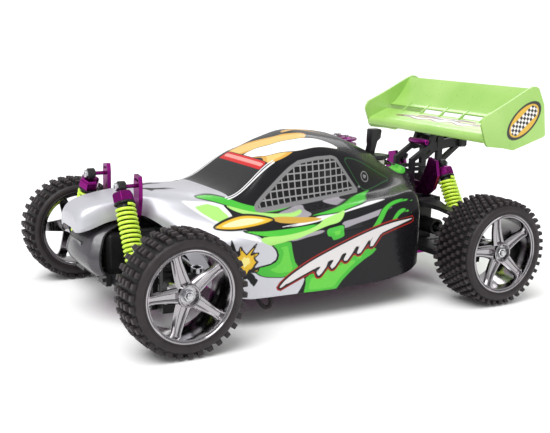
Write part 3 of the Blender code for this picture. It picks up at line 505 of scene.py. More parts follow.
# The livery, as outlines that are smoothed or not. Side shapes are (y, z), top shapes are (y, distance
# from the centre line) and roof shapes are (y, x).
SIDE, TOP, ROOF = "side", "top", "roof"
LIVERY = {
    "silver": [
        (SIDE, False, [
            (-190, 130), (-67.5, 130), (-67.5, 91), (-71, 88), (-78, 84), (-76, 78), (-66, 78), (-72, 72),
            (-66, 69.5), (-60, 65), (-54, 60), (-50.5, 56), (-49.6, 52.5), (-50.5, 49.5), (-54, 47),
            (-60, 46), (-68, 45), (-73, 44), (-80, 44), (-96, 44), (-190, 44),
        ]),
        (SIDE, False, [
            (-100, 43), (-80, 42.5), (-68, 41), (-50, 38.8), (-34, 36.6), (-28, 34.8), (-26, 32),
            (-27.5, 28), (-30, 24), (-33, 20), (-34, 5), (-100, 5),
        ]),
    ],
    "lime": [
        (TOP, False, [
            (-97, 45), (-87, 45.5), (-80, 51), (-77, 60), (-77.5, 65), (-82, 66.5), (-89, 60), (-94, 52),
        ]),
        (SIDE, True, [
            (-62, 65.5), (-43, 67), (-25, 69), (-12, 72.5), (-7, 75), (8, 78.5), (14, 80), (6, 73),
            (-7, 70.5), (-22, 66.5), (-32, 63.5), (-40, 62.5), (-50, 60.5), (-56, 60.5),
        ]),
        (SIDE, True, [
            (-74, 85.5), (-60, 81.8), (-45, 79.6), (-30, 79.4), (-18, 81), (-28, 77.6), (-45, 77.4),
            (-60, 79), (-70, 82),
        ]),
    ],
    "green": [
        (SIDE, True, [
            (-92, 90.5), (-80, 91), (-70, 89.5), (-62, 86.5), (-52, 84), (-40, 83.4), (-28, 84.4),
            (-12, 86.5), (-24, 82.6), (-38, 80.4), (-52, 80.2), (-62, 82), (-72, 85), (-82, 88),
        ]),
        (SIDE, True, [
            (-72, 70.5), (-58, 69.8), (-42, 70.4), (-25, 71.6), (-12, 72.5), (-25, 68.6), (-43, 66.4),
            (-57, 66.6), (-66, 68.6),
        ]),
        (SIDE, False, [
            (-54, 60.5), (-46, 61.5), (-38, 62.5), (-37, 56), (-35.6, 50), (-34, 45), (-31, 42), (-33, 38),
            (-36, 36), (-46, 35.6), (-58, 37), (-64, 39), (-67.5, 42), (-67, 44), (-60, 44.8), (-53, 46),
            (-49, 48.4), (-48, 52.5), (-49.5, 57),
        ]),
        (SIDE, False, [
            (-27, 20), (-19, 20), (1, 20), (8, 28), (18, 36), (28, 42), (35, 45), (41, 50), (34, 50.5),
            (24, 48.5), (12, 44.5), (-4, 41), (-12, 37.5), (-22, 35), (-27, 34), (-24.5, 31), (-25.5, 26),
        ]),
        (SIDE, True, [
            (-7, 68), (0, 69.5), (8, 70), (7.4, 66), (8, 62.5), (4, 60.6), (-2, 59.8), (-3.5, 62.4),
            (-7, 63.6),
        ]),
        (SIDE, True, [
            (-15, 77.6), (2, 80.4), (16, 83), (30, 85.6), (44, 88), (54, 89.5), (48, 87.2), (34, 83.6),
            (20, 81), (6, 78.6),
        ]),
        (SIDE, True, [
            (30, 62), (36, 68), (42, 74), (48, 79), (58, 83), (70, 84.5), (82, 82), (70, 82.6), (58, 80.6),
            (51, 77), (46, 72), (41, 67), (37, 63.4),
        ]),
        (SIDE, True, [
            (52, 67), (56, 72), (62, 76.4), (69, 77.6), (76, 73.5), (69, 75), (63, 73.4), (58.5, 70),
            (56, 67.6),
        ]),
        (TOP, True, [(88, 24), (94, 30), (102, 32), (112, 25), (118, 14), (112, 12), (104, 20), (96, 22)]),
    ],
    "white": [
        (SIDE, True, [
            (-44, 71.8), (-30, 73.4), (-18, 75.6), (-4, 78), (12, 80.4), (26, 82.4), (40, 84), (54, 85),
            (40, 82.4), (26, 80.4), (12, 78.2), (-2, 75.6), (-16, 73.4), (-30, 72),
        ]),
        (TOP, True, [
            (-104, 37), (-96, 40), (-86, 43.5), (-78, 48), (-74, 58), (-75.5, 66), (-79, 69), (-86, 66),
            (-93, 57), (-99, 47),
        ]),
        (SIDE, True, [
            (-92, 71), (-80, 71), (-70, 69.6), (-64, 66.5), (-60, 62.5), (-66, 64), (-78, 67), (-90, 68),
        ]),
    ],
    "grey": [
        (SIDE, True, [
            (-52, 63.5), (-40, 64.5), (-30, 66.4), (-18, 67.6), (-9, 68), (-13, 65.8), (-24, 64), (-36, 62),
        ]),
        (SIDE, True, [
            (-44, 77), (-34, 80.4), (-22, 82.6), (-14, 83), (-16, 80.6), (-14, 78.6), (-20, 76.6),
            (-32, 74.6),
        ]),
        (SIDE, True, [
            (8, 72), (20, 74), (34, 76.5), (48, 79), (58, 80), (46, 75.6), (34, 72.8), (20, 70.4), (8, 68),
        ]),
        (SIDE, True, [(4, 84.5), (14, 86.4), (24, 88.4), (20, 85.6), (26, 84.6), (12, 82.6)]),
        (SIDE, True, [(-20, 85.8), (-6, 88), (8, 89), (-2, 86.8), (-12, 85)]),
        (SIDE, True, [(30, 87.6), (46, 92), (60, 97), (50, 95), (38, 91)]),
    ],
    "yellow": [
        (SIDE, False, [
            (-66, 62), (-71.5, 53.8), (-64, 55.6), (-70, 50.6), (-62, 47), (-70.6, 47.6), (-63, 40),
            (-73, 45), (-72, 38), (-77, 45.5), (-85, 44), (-79, 49), (-86, 54), (-77.5, 53), (-78, 60),
            (-73.5, 54),
        ]),
    ],
    "badge": [
        (SIDE, True, [
            (-91, 72.6), (-82, 76.8), (-68, 79.4), (-55, 78.8), (-44.5, 76.4), (-55, 73.6), (-68, 72),
            (-82, 71.2),
        ]),
    ],
    "streak": [
        (SIDE, True, [
            (-47, 77), (-38, 77.8), (-26, 77.2), (-14, 76.6), (-8, 75.4), (-16, 74.2), (-28, 73.6),
            (-42, 74.4),
        ]),
    ],
    "roof_orange": [
        (ROOF, True, [
            (-35, -24), (-30, -32), (-20, -29), (-12, -18), (-4, -6), (6, 4), (14, 16), (8, 26), (0, 32),
            (-10, 36.5), (-24, 38), (-33, 35), (-28, 22), (-31, 8), (-27, -4), (-33, -12),
        ]),
        (ROOF, True, [(6, -4), (22, 6), (36, 20), (30, 10), (18, -6), (10, -12)]),
    ],
    "roof_white": [
        (ROOF, True, [
            (-33, 2), (-30, -5), (-22, -2), (-14, 8), (-6, 14), (4, 22), (16, 30), (32, 38.5), (24, 40),
            (8, 38.4), (-6, 36), (-16, 30), (-24, 24), (-28, 14),
        ]),
    ],
    "red": [
        (ROOF, False, [(-38, -33), (-30.5, -31), (-30.5, 34), (-38, 36)]),
    ],
    "screen": [
        (ROOF, False, [(-67.2, -44.2), (-30, -36.8), (-30, 36.8), (-67.2, 44.2)]),
    ],
    "window": [
        (SIDE, False, [
            (-54.5, 81), (-53, 85), (-44, 91.5), (-30, 101), (-16, 110.4), (-8, 114.6), (8, 117),
            (22, 117.4), (26.6, 115.6), (41, 91), (40.4, 88.4), (38, 88.2), (-50, 80),
        ]),
    ],
    "quarter": [
        (SIDE, True, [
            (34, 114), (44, 113.4), (56, 108.6), (68, 101.8), (80, 94.6), (70, 92.4), (58, 90), (48, 89),
            (43, 94), (38, 104),
        ]),
    ],
    "tribal": [
        (TOP, True, [
            (-130, 4), (-120, 5), (-112, 9), (-104, 10), (-98, 14), (-108, 13), (-103, 17), (-115, 14),
            (-119, 17), (-122, 10),
        ]),
        (SIDE, True, [
            (-90, 66), (-85, 60), (-83, 66), (-80, 57), (-77, 62), (-76, 54), (-82, 52), (-88, 54),
        ]),
        (SIDE, True, [
            (-76, 43), (-71, 42), (-66, 37), (-62, 29.6), (-67, 34), (-68, 30), (-73, 37), (-76, 36),
        ]),
    ],
}
# The mark on each pod, as (y, z, half width) along each bar: one long rising bar with short slanted
# dashes under it
BRUSH = [
    [(-47, 28, 0.8), (-36, 34.4, 2.4), (-16, 43.6, 3.4), (8, 52.4, 3.6), (32, 60.4, 3.0), (54, 65.8, 2.0),
     (75, 68.8, 0.6)],
    *([(y, 40.4 + 0.37 * y, 2.0), (y + 6, 47.6 + 0.37 * y, 2.0)] for y in (-14, -2, 10, 22, 34)),
]


def nearest_stroke(u, v, strokes):
    """The least signed distance to some brush strokes."""
    return np.min([stroke_distance(u, v, stroke) for stroke in strokes], axis=0)


def paint_livery(obj):
    x, y, z = places(obj)
    across = {SIDE: z, TOP: np.abs(x), ROOF: x}
    for name, shapes in LIVERY.items():
        nearest = np.full(len(x), 9.0)
        for view, smooth, outline in shapes:
            nearest = np.minimum(nearest, outline_distance(y, across[view], outline, smooth))
        paint(obj.data, name, nearest)
    paint(obj.data, "brush", np.where(z < 72, nearest_stroke(y, z, BRUSH), 9.0))
    paint(obj.data, "ring", np.where(np.abs(x) > 30, np.hypot(y - RING[0], z - RING[1]), 99.0))
    # Counted bars of the window net, and the distance from the windshield's slanted side
    paint(obj.data, "net_along", (y - 0.16 * (z - 90) + 53) / NET_PITCH)
    paint(obj.data, "net_up", (z - 0.06 * y - 90) / NET_PITCH)
    paint(obj.data, "pillar", np.abs(x) - 44.2 + (y + 67.5) * 0.2)


def paint_material():
    """The shell's paint: each layer is a colour inside one painted shape, grown by some millimetres."""
    made = Shader("body_paint", Coat_Weight=0.14, Coat_Roughness=0.03, Specular_IOR_Level=0.15)
    cloud = made.noise(30, 2)
    grime = made.spread(made.noise(7, 5), 0, 1, 0.45, 0.75)
    color = made.mix(cloud, (0.006, 0.0055, 0.007), (0.011, 0.01, 0.012))
    silver = made.mix(cloud, (0.5, 0.5, 0.54), (0.56, 0.56, 0.6))
    layers = [
        ("silver", silver, 0.0),
        ("white", (0.72, 0.72, 0.73), 0.0),
        ("grey", (0.3, 0.28, 0.31), 0.0),
        ("green", (0.01, 0.012, 0.01), 0.5),
        ("lime", (0.36, 0.67, 0.17), 0.0),
        ("green", made.mix(cloud, (0.03, 0.38, 0.035), (0.1, 0.5, 0.05)), -0.1),
        ("green", (0.13, 0.55, 0.06), -3.2),
        ("tribal", (0.01, 0.01, 0.011), 0.0),
        ("yellow", (0.012, 0.01, 0.01), 0.9), ("yellow", (0.72, 0.45, 0.03), 0.0),
        ("yellow", (0.85, 0.75, 0.25), -1.6),
        ("streak", (0.5, 0.3, 0.05), 0.0),
        ("badge", (0.012, 0.01, 0.01), 0.6), ("badge", (0.7, 0.42, 0.03), -0.6),
        ("badge", (0.85, 0.75, 0.4), -1.9),
        ("roof_orange", (0.62, 0.34, 0.06), 0.0), ("roof_orange", (0.72, 0.5, 0.16), -3.0),
        ("roof_white", (0.02, 0.015, 0.015), 0.7), ("roof_white", (0.84, 0.82, 0.78), 0.0),
        ("screen", (0.01, 0.0105, 0.012), 0.0),
        ("red", (0.55, 0.012, 0.012), 0.0), ("red", (0.75, 0.3, 0.27), -1.9),
        ("window", (0.19, 0.185, 0.19), 0.0), ("window", (0.008, 0.008, 0.009), -2.6),
        ("quarter", (0.02, 0.07, 0.025), 0.0), ("quarter", (0.01, 0.01, 0.011), -0.8),
        ("brush", (0.3, 0.02, 0.015), 2.3), ("brush", (0.012, 0.01, 0.012), 1.3),
        ("brush", (0.66, 0.63, 0.63), 0.0),
    ]
    for name, value, grow in layers:
        color = made.mix(made.inside(name, grow), color, value)
    bars = []
    for name in ("net_along", "net_up"):
        part = made.math("PINGPONG", made.attribute(name), 0.5)
        bars.append(made.spread(part, 1, 0, 0.075, 0.12))
    net = made.math("MULTIPLY", made.math("MAXIMUM", *bars), made.inside("window", -2.6))
    color = made.mix(net, color, (0.26, 0.25, 0.255))
    for radius, wide in ((3.9, 0.4), (1.5, 0.45)):
        off = made.math("ABSOLUTE", made.math("SUBTRACT", made.attribute("ring"), radius))
        color = made.mix(made.spread(off, 1, 0, wide - 0.15, wide + 0.15), color, (0.2, 0.2, 0.205))
    for offset in (-0.6, 2.2):
        off = made.math("ABSOLUTE", made.math("SUBTRACT", made.attribute("pillar"), offset))
        line = made.math("MULTIPLY", made.spread(off, 1, 0, 0.55, 0.95), made.inside("screen", 4.6))
        color = made.mix(line, color, (0.75, 0.75, 0.76))
    made.set("Base Color", color)
    metallic = made.math("MULTIPLY", made.inside("silver"), made.math("SUBTRACT", 1.0, made.inside("white")))
    for name in ("screen", "green", "lime", "brush", "badge", "yellow"):
        metallic = made.math("MULTIPLY", metallic, made.math("SUBTRACT", 1.0, made.inside(name, 0.6)))
    made.set("Metallic", made.math("MULTIPLY", metallic, 0.4))
    satin = made.math("MULTIPLY", metallic, 0.16)
    worn = made.math("ADD", made.spread(cloud, 0.2, 0.27), made.math("MULTIPLY", grime, 0.05))
    made.set("Roughness", made.math("ADD", worn, satin))
    made.relief(made.noise(22, 2), 0.05, strength=0.3)
    return made.material


def body_shell():
    outer = shell_surface(210, 76)
    points, faces = grid(outer)
    chin = tuple(range(outer.shape[1]))
    mesh = solid_mesh("body_shell_painted", points, faces + [chin])
    if sum(face.normal.z for face in mesh.polygons) < 0:
        mesh.flip_normals()
    mesh.materials.append(paint_material())
    mesh.materials.append(moulded("body_inside", (0.02, 0.02, 0.022), 0.5, 2.0, 0.02, 0.0))
    obj = placed_object("body_shell_painted", mesh)
    thick = obj.modifiers.new("thickness", "SOLIDIFY")
    thick.thickness, thick.offset = SHELL * MM, -1
    thick.material_offset, thick.material_offset_rim = 1, 1
    apply_modifiers(obj)
    for hole in (HEAD_HOLE, NECK_HOLE):
        cut_round(obj, *hole)
    paint_livery(obj)
    obj.data.shade_smooth()
    obj.data.set_sharp_from_angle(angle=math.radians(40))
    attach(obj, "chassis")
    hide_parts("body_shell")


body_shell()


# ---------------------------------------------------------------- wheels

# Where the first of the five spokes stands, in degrees about the axle
SPOKE_START = {"front": 36, "rear": 30}
# Tread blocks: how many round the tyre, rows across it, (width, length), taper and stagger between rows
TREAD = {"front": (34, 5, (3.2, 4.2), 0.94, 0.0), "rear": (40, 7, (3.0, 3.3), 0.7, 0.5)}


def on_wheel(shapes, end):
    return [moved(shape, at(*WHEEL_CENTRE[end])) for shape in shapes]


def rim(end, side):
    """Plated rim: a deep barrel with a double lip, five ridged spokes and a cupped hub."""
    half = TYRE_HALF[end]
    e = half - 1
    barrel = revolve([
        (-e, 31.5), (e - 1.4, 31.5), (e - 0.6, 32.0), (e + 0.3, 31.8), (e + 0.6, 31.0), (e + 0.1, 30.5),
        (e - 0.9, 30.3), (e - 0.5, 29.8), (e - 0.9, 29.2), (e - 3, 28.7), (e - 7, 28.3), (2, 27.7),
        (3 - half, 28.6), (-e, 29.6),
    ], 72)
    face = half - 5.6
    hub = revolve([
        (-8, 7.2), (face - 4, 8.8), (face + 0.8, 8.2), (face + 2.2, 7.9), (face + 2.6, 7.4),
        (face + 2.2, 6.8), (face - 1.2, 6.4), (face - 1.6, 2.9), (-8, 2.9),
    ], 40)
    shapes = [barrel, hub]
    spoke_low, spoke_high = 5.5, 29.2
    ridge = [(0.34, -1.5), (0.42, -0.2), (0.58, 0.3), (0.78, 0.15), (1, -0.9), (1, -3.2)]
    section = [(-across, up) for across, up in reversed(ridge)] + ridge
    for k in range(5):
        rings = []
        for r in np.linspace(spoke_low, spoke_high, 9):
            t = (r - spoke_low) / (spoke_high - spoke_low)
            width = 5.6 - 2.7 * t + 1.4 * max(0.0, t - 0.86) / 0.14
            rise = face + 1.0 * t - 1.2 * math.sin(math.pi * t)
            rings.append([(rise + up, width * w, r) for w, up in section])
        shapes.append(moved(loft(rings), turn(SPOKE_START[end] + 72 * k - 90, "X")))
    name = f"{end}_{side}"
    emit(name + "_rim_plated", on_wheel(shapes, end), "chrome", name + "_wheel", [name + "_rim"],
         SIDES[side], sharp=30)


def wheel_nut(end, side):
    """A hexagon nut on the threaded end of the stub axle, with its washer."""
    half = TYRE_HALF[end]
    low = half - 7.0
    outline = regular(6, 4.2)
    nut = []
    for along, size in ((low, 0.93), (low + 0.5, 1.0), (low + 3.1, 1.0), (low + 3.6, 0.9)):
        nut.append([(along, a * size, b * size) for a, b in outline])
    collar = revolve([(low - 0.6, 2.8), (low - 0.6, 5.4), (low + 0.1, 5.4), (low + 0.1, 2.8)], 30)
    thread = []
    for k in range(9):
        thread.append((low + 3.4 + 0.22 * k, 2.35 if k % 2 else 2.05))
    tip = thread[-1][0]
    stem = revolve(thread + [(tip + 0.3, 1.4), (tip + 0.3, 0.02), (low + 3.3, 0.02)], 20)
    name = f"{end}_{side}"
    emit(name + "_wheel_nut", on_wheel([loft(nut), collar, stem], end), "steel", name + "_wheel",
         side=SIDES[side])


def knob(along, angle, base, tip, size, taper, lean=0.0):
    """A tread block that stands out from the carcass; lean tilts it towards the sidewall."""
    wide, long = size
    rings = []
    for height, share in ((base, 1.04), (tip - 0.35, 1.0 + (taper - 1.0) * 0.8), (tip, taper * 0.92)):
        shift = lean * (height - base)
        rings.append([(along + shift + a * wide / 2 * share, b * long / 2 * share, height)
                      for a, b in ((-1, -1), (1, -1), (1, 1), (-1, 1))])
    return moved(loft(rings), turn(angle, "X"))


def tyre(end, side):
    """A ribbed carcass under rows of tread blocks, with leaning blocks along each shoulder."""
    half = TYRE_HALF[end]
    wall = [(half - 1.6, 31.7), (half - 0.7, 31.9), (half - 0.35, 32.7), (half - 0.7, 33.2),
            (half - 0.15, 34.2), (half - 0.05, 35.6), (half - 0.5, 37.2), (half - 1.5, 38.3),
            (half - 3.2, 39.3), (half - 6, 39.8)]
    profile = wall + [(-along, radius) for along, radius in reversed(wall)]
    shapes = [revolve(profile, 96)]
    count, columns, size, taper, stagger = TREAD[end]
    span = half - 4.3
    for column, along in enumerate(np.linspace(-span, span, columns)):
        shoulder = abs(along) > span - 0.1
        for k in range(count):
            angle = 360 * (k + stagger * (column % 2)) / count
            if shoulder:
                lean = 0.35 * (1 if along > 0 else -1)
                shapes.append(knob(along, angle, 38.4, WHEEL_R - 0.9, (3.4, size[1] * 0.95), 0.9, lean))
            else:
                shapes.append(knob(along, angle, 39.2, WHEEL_R, size, taper))
    name = f"{end}_{side}"
    made = emit(name + "_tyre_knobbly", on_wheel(shapes, end), "rubber", name + "_wheel",
                [name + "_tyre"], SIDES[side], sharp=40)
    _, y, z = places(made)
    radius = np.hypot(y - WHEEL_CENTRE[end][1], z - WHEEL_R)
    # The block tops are rubbed pale, and the floor between them is darkened with painted shade
    paint(made.data, "tread", np.clip((WHEEL_R - 1.6) - radius, -9, 9))
    # Marks the floor between the blocks for its painted shade
    paint(made.data, "tread_floor_shade", np.clip(np.abs(radius - 39.6) - 1.0, -9, 9))


# ---------------------------------------------------------------- shocks

COIL_R = 6.45
# How far the lower spring cup stands above the lower eye
CUP_RISE = 11


def on_shock(shapes, end):
    _, lean, top, _ = shock_line(end)
    return [moved(shape, at(*top) @ turn(-lean, "Y")) for shape in shapes]


def upright(profile, steps=32):
    """A closed profile of (z, radius) turned about the Z axis."""
    points, faces = revolve(profile, steps)
    return points[:, [1, 2, 0]], faces


def eye(z, outer, inner, half):
    """A ring whose bore runs along Y."""
    points, faces = revolve([(-half, inner), (-half, outer - 0.5), (0.5 - half, outer), (half - 0.5, outer),
                             (half, outer - 0.5), (half, inner)], 28)
    points = points[:, [1, 0, 2]] + (0, 0, z)
    return points, faces


def shock(end, side):
    """Body with its hexagonal cap and upper ball, the coil round it, and the shaft's foot."""
    length, lean, top, travel = shock_line(end)
    name = f"{end}_{side}_shock"
    sign = SIDES[side]
    cup = CUP_RISE - length
    cap = []
    for z, size in ((-12.0, 7.5), (-11.6, 7.8), (-6.2, 7.8), (-5.2, 7.3), (-4.2, 6.2), (-3.9, 4.4)):
        cap.append([(a, b, z) for a, b in regular(6, size, math.pi / 6)])
    collar = upright([(-13.5, 5.2), (-13.5, 7.3), (-13.2, 7.6), (-12.5, 7.6), (-12.0, 7.2), (-12.0, 5.2)], 40)
    barrel = upright([(-42, 2.3), (-42, 4.6), (-41.4, 5.0), (-36, 5.0), (-35.6, 4.7), (-35, 4.7),
                      (-34.6, 5.0), (-12, 5.0), (-12, 2.3)], 40)
    body = name + "_body"
    emit(body + "_cap", on_shock([loft(cap)], end), "anodised", body, [body], sign, sharp=30)
    emit(body + "_tube", on_shock([collar, barrel], end), "black_plastic", body, side=sign)
    stub = upright([(-4.8, 0.1), (-4.8, 2.9), (-2.8, 2.4), (-2.8, 0.1)], 20)
    emit(name + "_top_end", on_shock([eye(0, 4.2, 2.6, 2.8), stub], end), "black_plastic", body, side=sign)
    screw_way = -1 if end == "front" else 1
    bead, faces = upright([(-2.2, 1.7), (-1.6, 2.3), (0, 2.75), (1.6, 2.3), (2.2, 1.7)], 28)
    head, head_faces = upright([(3.0, 1.6), (3.0, 3.0), (4.6, 3.0), (5.1, 2.6), (5.1, 1.3), (4.2, 1.2),
                                (4.2, 0.05), (3.0, 0.05)], 24)
    screws = [(bead[:, [0, 2, 1]], faces), (head[:, [0, 2, 1]] * (1, screw_way, 1), head_faces)]
    emit(name + "_top_ball", on_shock(screws, end), "steel", body, side=sign)
    turns, wire = (13.0, 1.12) if end == "front" else (14.0, 1.25)
    low, high = cup + 2.6 + wire, -SPRING_TOP - wire
    path = []
    for t in np.linspace(0, 1, 300):
        angle = 2 * math.pi * turns * t
        # The coils lie closer together towards both ends
        near_end = min(t, 1 - t)
        rise = near_end * (0.35 + 0.65 * min(1.0, near_end / 0.06))
        rise = rise if t < 0.5 else 1 - rise
        path.append((COIL_R * math.cos(angle), COIL_R * math.sin(angle), high + (low - high) * rise))
    spring = emit(name + "_coil", on_shock([tube(path, wire)], end), "spring_lime", body,
                  [name + "_spring"], sign, sharp=180)
    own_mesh(spring)
    plate = upright([(cup, 3.0), (cup, 7.2), (cup + 0.6, 7.8), (cup + 2.3, 7.8), (cup + 2.5, 7.5),
                     (cup + 1.4, 5.6), (cup + 1.4, 3.0)], 40)
    neck = upright([(cup + 0.8, 0.1), (cup + 0.8, 3.5), (cup - 4, 3.2), (cup - 6.2, 3.6),
                    (cup - 6.2, 0.1)], 24)
    shaft = name + "_shaft"
    foot = [plate, neck, eye(-length, 4.0, 2.3, 2.6)]
    emit(shaft + "_foot", on_shock(foot, end), "black_plastic", shaft, [shaft], sign)
    rod = upright([(-length + 8, 0.1), (-length + 8, 1.7), (-34, 1.7), (-34, 0.1)], 24)
    emit(shaft + "_rod", on_shock([rod], end), "steel", shaft, side=sign)


for end in ("front", "rear"):
    for side in SIDES:
        rim(end, side)
        wheel_nut(end, side)
        tyre(end, side)
        shock(end, side)


# ---------------------------------------------------------------- wing

WING_HALF = 81.0
BLADE = 1.6
# The side of a square in the band along each end plate's oval, and the oval's middle as (y, z)
CHECK = 2.6
OVAL = (190, 143)
# The sweeps on the blade, as (x, y, half width)
WING_STROKES = [
    [(-52, 159, 0.3), (-34, 160.5, 1.2), (-18, 159, 1.9), (-4, 161, 1.3), (8, 159.6, 2.2), (24, 161.5, 1.4),
     (38, 159.4, 2.0), (52, 160.6, 1.2), (66, 161.8, 0.3)],
    [(-24, 163.5, 0.3), (-8, 164.5, 0.9), (14, 163.6, 1.3), (34, 165, 0.9), (52, 164.4, 0.3)],
]


def thick_line(line, steps):
    """An outline as thick as a blade round an open line of (y, z) points, thinner at its ends."""
    line = curve(line, steps, closed=False)
    ahead = np.gradient(line, axis=0)
    ahead /= np.linalg.norm(ahead, axis=1)[:, None]
    across = np.stack([-ahead[:, 1], ahead[:, 0]], 1)
    share = np.linspace(0, 1, len(line))
    size = BLADE / 2 * np.minimum(1.0, 0.6 + 6 * np.minimum(share, 1 - share))
    return np.concatenate([line + across * size[:, None], (line - across * size[:, None])[::-1]])


def spanwise(outline, stations):
    """An outline in the YZ plane carried across the car through some places along X."""
    return loft([[(x, y, z) for y, z in outline] for x in stations])


def wing():
    """Two blades joined by ribs, between two end plates that hang below them."""
    stations = np.linspace(-WING_HALF, WING_HALF, 180)
    main = thick_line([(147.6, 125.6), (148.0, 129.6), (150.6, 132.2), (157.5, 134.8), (169.6, 139.8)], 16)
    flap = thick_line([(173, 143.6), (177.6, 145.8), (183, 151.2), (189, 159), (196, 169.4)], 5)
    blades = [spanwise(main, stations), spanwise(flap, stations)]
    rib = [(160, 134.7), (169.6, 138.9), (173, 142.8), (180, 147.4), (177.4, 147.4), (169, 141.8)]
    for x in (-54, -27, 0, 27, 54):
        blades.append(spanwise(rib, (x - BLADE / 2, x + BLADE / 2)))
    tip = [(202, 171), (205, 169.5), (212, 156), (215.8, 130), (214, 128.2), (196, 122.8), (180, 118.2),
           (168, 120.5), (151, 122.5), (149, 124.5), (143.2, 140), (143.8, 143), (146.4, 147.2), (170, 158),
           (190, 168), (198, 171.4)]
    fine = []
    for (ay, az), (by, bz) in zip(tip, tip[1:] + tip[:1]):
        for t in np.linspace(0, 1, max(2, int(math.hypot(by - ay, bz - az) / 3)), endpoint=False):
            fine.append((ay + (by - ay) * t, az + (bz - az) * t))
    fine = np.array(fine)
    middle = fine.mean(0)
    # Each plate is rounded along its rim, and rings on its outer face carry the paint
    faces = [(-1.1, 0.994), (-0.8, 1.0), (0.8, 1.0), (1.1, 0.994)]
    faces += [(1.1, share) for share in np.linspace(0.97, 0.03, 24)]
    plates = []
    for side in (-1, 1):
        rings = []
        for offset, share in faces:
            x = side * (WING_HALF + 0.5 + offset)
            rings.append([(x, y, z) for y, z in middle + (fine - middle) * share])
        plates.append(loft(rings))
    shader = wing_material()
    for name, shapes, replaced in (("wing_blades", blades, ["wing"]), ("wing_end_plates", plates, [])):
        paint_wing(emit(name, shapes, "wing_green", "chassis", replaced, material=shader))


def paint_wing(obj):
    x, y, z = places(obj)
    plates = np.abs(x) > WING_HALF - 1
    tilt = math.radians(38)
    back, up = y - OVAL[0], z - OVAL[1]
    along = back * math.cos(tilt) + up * math.sin(tilt)
    across = up * math.cos(tilt) - back * math.sin(tilt)
    oval = (np.hypot(along / 22.0, across / 11.5) - 1) * 11.5
    paint(obj.data, "oval", np.where(plates & (np.abs(x) > WING_HALF + 0.6), np.clip(oval, -9, 9), 9.0))
    paint(obj.data, "band", np.where(plates, np.abs(across) - 2 * CHECK, 9.0))
    # Counted squares of the chequered band along and across the oval
    paint(obj.data, "check_along", along / CHECK)
    paint(obj.data, "check_across", across / CHECK)
    top = (z > 133) & (y < 171) & ~plates
    paint(obj.data, "stripe", np.where(top, nearest_stroke(x, y, WING_STROKES), 9.0))


def wing_material():
    made = Shader("wing_green", (0.34, 0.6, 0.13), Coat_Weight=0.35, Coat_Roughness=0.1)
    cloud = made.noise(45, 2)
    color = made.mix(made.spread(cloud, 0, 1), (0.3, 0.55, 0.11), (0.4, 0.64, 0.17))
    for value, grow in (((0.012, 0.011, 0.01), 0.0), ((0.7, 0.42, 0.03), -1.7)):
        color = made.mix(made.inside("oval", grow), color, value)
    squares = made.node("ShaderNodeTexChecker")
    squares.inputs["Scale"].default_value = 1.0
    squares.inputs["Color1"].default_value = (0.8, 0.78, 0.74, 1)
    squares.inputs["Color2"].default_value = (0.012, 0.011, 0.01, 1)
    place = made.node("ShaderNodeCombineXYZ")
    for name, socket in zip(("check_along", "check_across"), place.inputs):
        made.link(made.attribute(name), socket)
    made.link(place.outputs[0], squares.inputs["Vector"])
    band = made.math("MULTIPLY", made.inside("band"), made.inside("oval", -CHECK))
    color = made.mix(band, color, squares.outputs["Color"])
    for value, grow in (((0.3, 0.03, 0.02), 0.7), ((0.014, 0.012, 0.012), 0.2), ((0.74, 0.72, 0.7), -0.7)):
        color = made.mix(made.inside("stripe", grow), color, value)
    made.set("Base Color", color)
    made.set("Roughness", made.spread(made.noise(3, 4), 0.26, 0.4))
    made.relief(made.noise(12, 2), 0.08)
    return made.material


wing()


# ---------------------------------------------------------------- nose, engine and small parts


def bumper():
    """The curved shell under the nose, with rolled edges and two brackets behind it."""
    rows = [(35.5, -165.4, 30, 0), (41, -171.5, 30.5, 2), (48, -175.5, 30, 5),
            (58, -173, 27, 5), (66, -166.5, 24, 3), (72.5, -153, 23, 2)]
    heights = np.array([r[0] for r in rows], float)
    outer, inner = [], []
    for height in np.linspace(heights[0], heights[-1], 30):
        y, half, bow = (smooth_through(heights, np.array([r[k] for r in rows], float), np.array([height]))[0]
                        for k in (1, 2, 3))
        line = []
        for s in np.linspace(-1, 1, 33):
            line.append((half * s, y + bow * s * s + 5.0 * max(0.0, abs(s) - 0.86) / 0.14, height))
        outer.append(line)
        inner.append([(x * 0.965, back + 2.0, z) for x, back, z in line])
    outer, inner = np.array(outer), np.array(inner)
    points, faces = grid(np.concatenate([outer, inner[:, ::-1]], 1), False, True)
    count = outer.shape[1] * 2
    for row in (0, len(outer) - 1):
        start = row * count
        for k in range(outer.shape[1] - 1):
            faces.append((start + k, start + k + 1, start + count - 2 - k, start + count - 1 - k))
    brackets = [block((-12, -173, low), (12, -157.4, low + 5)) for low in (44, 54)]
    emit("front_bumper_shell", [(points, faces)] + brackets, "grey_plastic", "chassis", ["front_bumper"],
         sharp=50)


